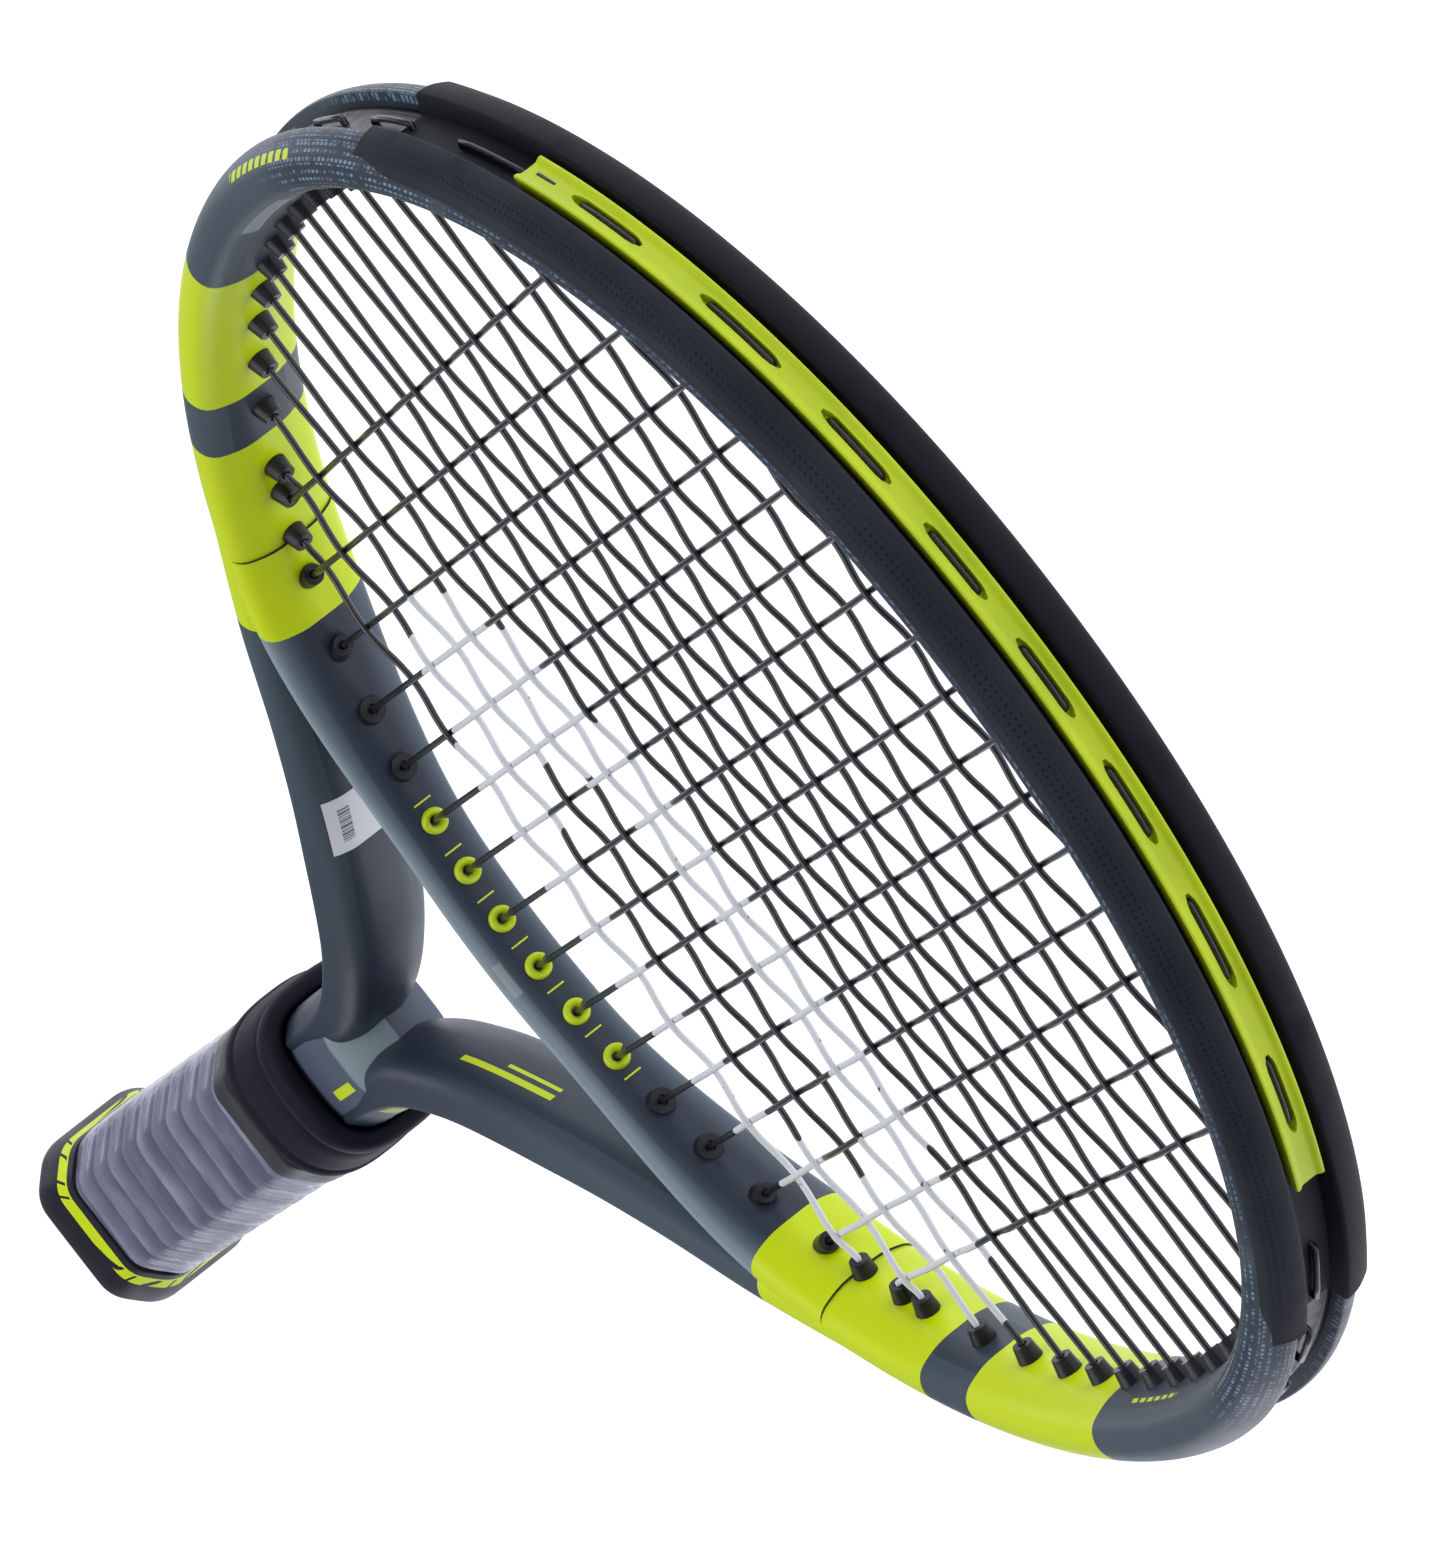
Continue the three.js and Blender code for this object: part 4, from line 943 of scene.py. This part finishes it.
cross_route = []
for n, k in enumerate(crosses):
    sign = 1 if n % 2 == 0 else -1
    start, finish = side_of(cross_holes[n], -sign), side_of(cross_holes[n], sign)
    if n == 0:
        cross_route += knot_end(start, 0.9, 0.0)[::-1]
    entry, leave = through(start)[::-1], through(finish)
    cross_route.append(entry[0])
    peaks = [np.array(entry[1])]
    for c, column in enumerate([-i for i in reversed(mains)] + mains):
        column *= sign
        over = 1 if c % 2 == 0 else -1
        if k == -9 and abs(column) > 7:
            continue
        if k == 9 and abs(column) > 7:
            x, y = math.copysign(LAST_CROSSING[0], column), LAST_CROSSING[1]
        else:
            x, y = main_at(column, cross_y(k)), cross_y(k)
        peaks.append(np.array((x, y, over * CROSS_RISE)))
    peaks.append(np.array(leave[0]))
    for a, b in zip(peaks[:-1], peaks[1:]):
        for f in np.linspace(0, 1, 9)[:-1]:
            bow = f - math.sin(2 * math.pi * f) / (2 * math.pi) * 0.6
            point = a + (b - a) * f
            cross_route.append((point[0], point[1], a[2] + (b[2] - a[2]) * bow))
    cross_route += leave
    if n + 1 < len(crosses):
        cross_route += turn_back(finish, side_of(cross_holes[n + 1], sign), -0.0018 if k == -8 else 0.0)
    else:
        cross_route += knot_end(finish, 0.9)


def string_tree():
    """Geometry Nodes: a round filament swept along a drawn line."""
    tree = bpy.data.node_groups.new("filament_on_line", "GeometryNodeTree")
    tree.interface.new_socket("Geometry", in_out="INPUT", socket_type="NodeSocketGeometry")
    gauge = tree.interface.new_socket("Gauge Radius", in_out="INPUT", socket_type="NodeSocketFloat")
    skin_of = tree.interface.new_socket("Material", in_out="INPUT", socket_type="NodeSocketMaterial")
    tree.interface.new_socket("Geometry", in_out="OUTPUT", socket_type="NodeSocketGeometry")
    make, join = tree.nodes.new, tree.links.new
    given, done = make("NodeGroupInput"), make("NodeGroupOutput")
    circle = make("GeometryNodeCurvePrimitiveCircle")
    circle.inputs["Resolution"].default_value = 10
    join(given.outputs["Gauge Radius"], circle.inputs["Radius"])
    sweep = make("GeometryNodeCurveToMesh")
    sweep.inputs["Fill Caps"].default_value = True
    join(given.outputs["Geometry"], sweep.inputs["Curve"])
    join(circle.outputs["Curve"], sweep.inputs["Profile Curve"])
    real, finish = make("GeometryNodeRealizeInstances"), make("GeometryNodeSetMaterial")
    join(sweep.outputs["Mesh"], real.inputs["Geometry"])
    join(real.outputs["Geometry"], finish.inputs["Geometry"])
    join(given.outputs["Material"], finish.inputs["Material"])
    join(finish.outputs["Geometry"], done.inputs["Geometry"])
    return tree, {"Gauge Radius": gauge.identifier, "Material": skin_of.identifier}


filament_tree, filament_inputs = string_tree()


def strung(name, route, material):
    line = bpy.data.curves.new(name + "_line", "CURVE")
    line.dimensions = "3D"
    spline = line.splines.new("POLY")
    spline.points.add(len(route) - 1)
    spline.points.foreach_set("co", [c for p in route for c in (*p, 1.0)])
    drawn = stand(name + "_line", line)
    grow = drawn.modifiers.new("grow", "NODES")
    grow.node_group = filament_tree
    grow[filament_inputs["Gauge Radius"]] = STRING_R
    grow[filament_inputs["Material"]] = material
    graph = bpy.context.evaluated_depsgraph_get()
    mesh = bpy.data.meshes.new_from_object(drawn.evaluated_get(graph))
    bpy.data.objects.remove(drawn)
    mesh.polygons.foreach_set("use_smooth", [True] * len(mesh.polygons))
    return stand(name, mesh)


poly = Finish("string_poly", Specular_IOR_Level=0.6)
sx, sy = poly.object_xyz()[:2]
# A plain oval ring is stencilled across the lower half of the string bed in white ink.
from_middle = ((sx - 0.022) / 0.083) ** 2 + ((sy - 0.431) / 0.050) ** 2
ink = (from_middle < 1.0) * (from_middle > 0.30) * poly.ramp(poly.noise(500.0, 2.0), 0.22, 0.30)
fleck = poly.noise(700.0, 2.0)
bare = poly.mottle(fleck, 0.3, 0.7, (0.010, 0.010, 0.012, 1.0), (0.018, 0.018, 0.021, 1.0))
poly.feed(Base_Color=poly.pick(ink * 0.93, bare, (0.74, 0.75, 0.78, 1.0)), Roughness=ink * 0.32 + 0.24)
poly.bump(poly.noise(2400.0, 2.0), 0.00002, 0.3)
for name, route in [("main", main_route), ("cross", cross_route)]:
    string = strung(f"{name}_filament", route, poly.material)
    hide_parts(f"{name}_string")
    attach(string, "racket")

# --------------------------------------
# Handle shells: two moulded foam halves that turn the round tubes into an octagon. Only a bare
# foam finish is given to them: the grip and collar hide all but their end, with the collar up.
# --------------------------------------
foam = Finish("shell_foam", Roughness=0.85)
foam_place = foam.add("ShaderNodeTexCoord", output="Object")
cells = foam.add("ShaderNodeTexVoronoi", None, {"Vector": foam_place, "Scale": 1400.0})
foam_tone = foam.mottle(foam.noise(90.0), 0.3, 0.7, (0.20, 0.20, 0.17, 1.0), (0.30, 0.30, 0.26, 1.0))
foam.feed(Base_Color=foam_tone)
foam.bump(cells, 0.0001, 0.6)
for node in ("pallet_front", "pallet_back"):
    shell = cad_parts[node]
    shell.data.materials.clear()
    shell.data.materials.append(foam.material)

# --------------------------------------
# Base grip: a cushioned strip wound up the octagonal handle from the butt, each turn laid
# half over the last, so that its edges stand up in slanting ridges.
# --------------------------------------
PALLET = (15.4, 13.9, 6.0)  # half width, half height and bevel of the bare octagon


def octagon(a, b, bevel, radius, steps):
    """Rounded octagon of half width a and half height b."""
    corners = [(a, -b + bevel), (a, b - bevel), (a - bevel, b), (-a + bevel, b),
               (-a, b - bevel), (-a, -b + bevel), (-a + bevel, -b), (a - bevel, -b)]
    return rounded([(x, z, radius) for x, z in corners], steps)


def octagon_point(share, grown, radius=2.6):
    """Point on the rounded octagon at a share of its way round, moved outwards."""
    half_wide, half_high, bevel = PALLET[0] + grown, PALLET[1] + grown, PALLET[2] + 0.586 * grown
    loop = octagon(half_wide, half_high, bevel, radius, 6) * 1000
    loop = np.vstack([loop, loop[:1]])
    run = np.concatenate([[0], np.cumsum(np.linalg.norm(np.diff(loop, axis=0), axis=1))])
    t = (np.asarray(share) % 1.0) * run[-1]
    return np.stack([np.interp(t, run, loop[:, 0]), np.interp(t, run, loop[:, 1])], -1)


GRIP_LOW, GRIP_HIGH, PITCH = 24.5, 178.5, 14.6
around = np.arange(128) / 128
flat = octagon_point(around, 0.3)
full = octagon_point(around, 2.3)


def level_ring(outline, y):
    """A section's outline stood at a height up the racket, from millimetres to metres."""
    return np.column_stack([outline[:, 0], np.full(len(outline), y), outline[:, 1]]) / 1000


def grip_rings(heights, swell):
    """Rings up the handle whose outward swell is a function of the distance past the last seam."""
    rings = []
    for y in heights:
        past = ((y - GRIP_LOW) / PITCH - around) % 1.0
        share = swell(past, y)[:, None]
        rings.append(level_ring(flat + (full - flat) * share, y))
    return rings


def wrap_swell(past, y):
    # Just above a seam the strip stands proud on the turn below, then it settles to the handle.
    lip = 0.42 + 0.50 * (1 - past) ** 1.2
    seam = np.exp(-((past - 0.0) / 0.030) ** 2) + np.exp(-((past - 1.0) / 0.015) ** 2)
    lap = 0.10 * np.exp(-((past - 0.45) / 0.10) ** 2)
    return (lip + lap - 0.42 * seam) * min(1.0, (y - GRIP_LOW) / 2.0 + 0.4)


grip_y = np.linspace(GRIP_LOW, GRIP_HIGH, 420)
grip = skin("wound_grip", grip_rings(grip_y, wrap_swell), grip_y / 1000)
leather = Finish("grip_skin", Specular_IOR_Level=0.3, Coat_Weight=0.1, Coat_Roughness=0.2)
gu, gv = leather.uv()
turn_share = leather.fract((gu - GRIP_LOW / 1000) / (PITCH / 1000) - gv + 20.0)
# Painted shade: a dark line is painted along each seam, where one turn steps onto the next.
groove = (turn_share < 0.050) | (turn_share > 0.965)
mottle = leather.noise(55.0, 4.0)
hide = leather.mottle(mottle, 0.3, 0.7, (0.034, 0.037, 0.072, 1.0), (0.060, 0.064, 0.118, 1.0))
leather.feed(
    Base_Color=leather.pick(groove * 0.8, hide, (0.002, 0.002, 0.006, 1.0)),
    Roughness=leather.spread(mottle, 0.3, 0.7, 0.30, 0.48),
)
leather.bump(leather.noise(1300.0, 3.0), 0.00008, 0.5)
grip.data.materials.append(leather.material)
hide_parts("base_grip")
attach(grip, "racket")

# --------------------------------------
# Shop film: clear plastic shrunk over the new grip. It follows every ridge, bridges the seams
# and gathers in fine wrinkles along them.
# --------------------------------------


def film_swell(past, y):
    lip = 0.50 + 0.50 * (1 - past) ** 1.2
    seam = np.exp(-((past - 0.0) / 0.050) ** 2) + np.exp(-((past - 1.0) / 0.025) ** 2)
    ripple = 0.018 * np.sin(around * 2 * np.pi * 23 + past * 9) * np.exp(-((past - 0.15) / 0.2) ** 2)
    return lip + 0.10 * np.exp(-((past - 0.45) / 0.10) ** 2) - 0.20 * seam + ripple


film_y = np.linspace(GRIP_LOW + 1.0, 166.0, 360)
film = skin("shop_film", grip_rings(film_y, film_swell), film_y / 1000, ends=False)
clear = Finish("clear_film", Specular_IOR_Level=0.9, Roughness=0.12, Coat_Weight=0.6, Coat_Roughness=0.05)
haze = clear.noise(70.0, 4.0)
crease = clear.noise(160.0, 5.0, 0.7)
fu, fv = clear.uv()
film_share = clear.fract((fu - GRIP_LOW / 1000) / (PITCH / 1000) - fv + 20.0)
film_off_seam_shade = clear.ramp(film_share, 0.040, 0.080) * (1.0 - clear.ramp(film_share, 0.925, 0.975))
# Painted reflection and painted shade: each band of film is painted pale lavender just past its seam and
# darker towards the next, and is left clear over the painted seam shade.
clear.feed(
    Base_Color=clear.mottle(film_share, 0.05, 0.95, (0.62, 0.63, 0.84, 1.0), (0.16, 0.17, 0.33, 1.0)),
    Alpha=clear.spread(haze, 0.35, 0.70, 0.22, 0.58) * film_off_seam_shade,
)
clear.bump(crease, 0.0006, 0.35)
film.data.materials.append(clear.material)
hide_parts("grip_film")
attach(film, "racket")

# --------------------------------------
# Finishing tape: two turns of black vinyl that hold down the end of the grip.
# --------------------------------------
tape_rings = []
for y, share in [(165.5, 0.90), (165.8, 1.02), (172.4, 1.03), (172.6, 1.12), (179.2, 1.13), (179.6, 1.02)]:
    tape_rings.append(level_ring(flat + (full - flat) * share, y))
tape = skin("finishing_band", tape_rings, [0, 0.0003, 0.007, 0.0072, 0.0138, 0.0142])
vinyl = Finish("vinyl_tape", Specular_IOR_Level=0.22)
stretch = vinyl.noise(120.0, 4.0)
vinyl.feed(
    Base_Color=vinyl.mottle(stretch, 0.3, 0.7, (0.007, 0.007, 0.012, 1.0), (0.013, 0.013, 0.020, 1.0)),
    Roughness=vinyl.spread(stretch, 0.3, 0.7, 0.26, 0.44),
)
vinyl.bump(vinyl.noise(900.0, 2.0), 0.00004, 0.4)
tape.data.materials.append(vinyl.material)
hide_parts("finishing_tape")
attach(tape, "racket")

# --------------------------------------
# Rubber collar: a moulded sleeve stretched over the end of the grip, ribbed for the fingers.
# It can be pushed a little way up the neck.
# --------------------------------------
collar_angles = 2 * np.pi * (np.arange(96) + 0.5) / 96


def soft_box(a, b, power):
    c, s = np.cos(collar_angles), np.sin(collar_angles)
    wide = np.sign(c) * a * np.abs(c) ** (2 / power)
    return np.stack([wide, np.sign(s) * b * np.abs(s) ** (2 / power)], -1)


# Height up the racket and half width of the sleeve, up its outside and back down its inside.
outside = [
    (180.0, 17.6), (180.3, 18.3), (181.2, 18.9), (182.6, 19.0), (184.6, 18.9), (185.4, 18.5), (185.9, 18.3),
    (186.4, 18.5), (187.2, 18.6), (190.5, 18.5), (196.5, 18.1), (202.5, 17.8), (203.2, 17.4), (203.8, 17.3),
    (204.4, 17.6), (205.4, 18.0), (208.5, 18.1), (210.2, 17.7), (211.3, 17.1), (212.0, 16.2),
]
inside = [
    (212.2, 14.9), (212.0, 14.35), (211.5, 14.15), (208.5, 14.15),
    (206.0, 14.9), (187.0, 14.9), (186.0, 16.4), (180.0, 16.6),
]
sleeve_rings = []
for y, half in outside + inside:
    inner_side = (y, half) in inside
    hug = 2.0 if inner_side and 208.0 < y else 1.45
    sleeve_rings.append(level_ring(soft_box(half, half - hug, 3.6 if inner_side else 2.7), y))
sleeve_rings.append(sleeve_rings[0])
sleeve = skin("grip_sleeve", sleeve_rings, np.linspace(0, 0.09, len(sleeve_rings)), ends=False)
close = bmesh.new()
close.from_mesh(sleeve.data)
bmesh.ops.remove_doubles(close, verts=close.verts, dist=1e-6)
bmesh.ops.recalc_face_normals(close, faces=close.faces)
close.to_mesh(sleeve.data)
close.free()
rubber = Finish("sleeve_rubber", Specular_IOR_Level=0.12)
dust = rubber.noise(45.0, 4.0)
rubber.feed(
    Base_Color=rubber.mottle(dust, 0.35, 0.75, (0.006, 0.005, 0.012, 1.0), (0.010, 0.009, 0.019, 1.0)),
    Roughness=rubber.spread(dust, 0.3, 0.7, 0.52, 0.68),
)
rubber.bump(rubber.noise(1500.0, 3.0), 0.00005, 0.5)
sleeve.data.materials.append(rubber.material)
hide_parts("rubber_collar")
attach(sleeve, "collar")

# --------------------------------------
# Butt cap: a flared cup of matt black plastic stapled over the end of the shells. A broken
# lime line is printed round its shoulder, and its end face is lightly dished.
# --------------------------------------
# Height, half width and half depth of the cap, from the middle of its end face outwards and up.
heel = [
    (0.9, 3.0, 3.0), (0.55, 8.6, 7.4), (0.0, 14.2, 12.8), (0.0, 16.9, 15.4), (0.5, 18.2, 16.7),
    (1.6, 19.2, 17.7), (3.2, 19.75, 18.25), (6.0, 19.8, 18.3), (8.6, 19.7, 18.2), (10.8, 19.4, 17.9),
    (13.0, 19.0, 17.5), (15.2, 18.6, 17.1), (17.5, 18.15, 16.65), (20.0, 17.7, 16.2), (23.0, 17.4, 15.9),
    (24.4, 17.3, 15.8), (24.6, 16.6, 15.1),
]
cap_rings = []
for y, a, b in heel:
    share = min(a, b) / 18.3
    loop = octagon(a, b, 7.6 * share, 3.6 * share, 8)
    cap_rings.append(np.column_stack([loop[:, 0], np.full(len(loop), y / 1000), loop[:, 1]]))
cap = skin("heel_cap", cap_rings, [y / 1000 for y, _, _ in heel])
smooth = cap.modifiers.new("soft", "SUBSURF")
smooth.levels = smooth.render_levels = 1
settle(cap)
cap_plastic = Finish("cap_plastic", Specular_IOR_Level=0.18)
cv = cap_plastic.uv()[1]
cy = cap_plastic.object_xyz()[1]
beat = cap_plastic.fract(cv * 18.0 + cy * 90.0)
broken = cy.within(0.0158, 0.0208) * ((beat < 0.80) | (cy > 0.0198))
cap_dust = cap_plastic.noise(60.0, 4.0)
cap_black = cap_plastic.mottle(cap_dust, 0.3, 0.7, (0.006, 0.005, 0.012, 1.0), (0.010, 0.009, 0.019, 1.0))
cap_plastic.feed(
    Base_Color=cap_plastic.pick(broken, cap_black, LIME),
    Roughness=cap_plastic.spread(cap_dust, 0.3, 0.7, 0.36, 0.52),
)
cap_plastic.bump(cap_plastic.noise(1700.0, 3.0), 0.00005, 0.5)
cap.data.materials.clear()
cap.data.materials.append(cap_plastic.material)
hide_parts("butt_cap")
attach(cap, "racket")

# --------------------------------------
# Stock label: a white paper sticker with a plain bar pattern, pressed onto the inner face of
# the left shaft so that it wraps over the edge.
# --------------------------------------
label_mid = hoop.length - hoop.where(1, 0.3195, 0.0, 0.0, 0.5)
label_rings = []
label_s = np.linspace(label_mid - 0.0086, label_mid + 0.0086, 25)
for s in label_s:
    outline = tube_outline(s)
    centre = outline.mean(0)
    strip_out = []
    for k in range(-1, 7):
        p = outline[k]
        n = (p - centre) / np.linalg.norm(p - centre)
        strip_out.append((p + n * 0.00012, p + n * 0.00002))
    ring = np.array([a for a, _ in strip_out] + [b for _, b in reversed(strip_out)])
    flatp = hoop.at(s) + hoop.out(s) * ring[:, :1]
    label_rings.append(np.column_stack([flatp, ring[:, 1]]))
label = skin("stock_sticker", label_rings, label_s - label_mid)
paper = Finish("sticker_paper", Roughness=0.45)
lu, lv = paper.uv()
bar_values = {"W": lu * 2600.0, "Scale": 1.0, "Detail": 0.0}
bars = paper.add("ShaderNodeTexNoise", {"noise_dimensions": "1D"}, bar_values)
printed_bars = (bars > 0.5) * (abs(lu) < 0.0052) * lv.within(0.12, 0.30)
paper.feed(Base_Color=paper.pick(printed_bars, (0.88, 0.88, 0.90, 1.0), (0.05, 0.05, 0.06, 1.0)))
paper.bump(paper.noise(1500.0, 2.0), 0.00002, 0.3)
label.data.materials.append(paper.material)
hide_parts("stock_label")
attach(label, "racket")
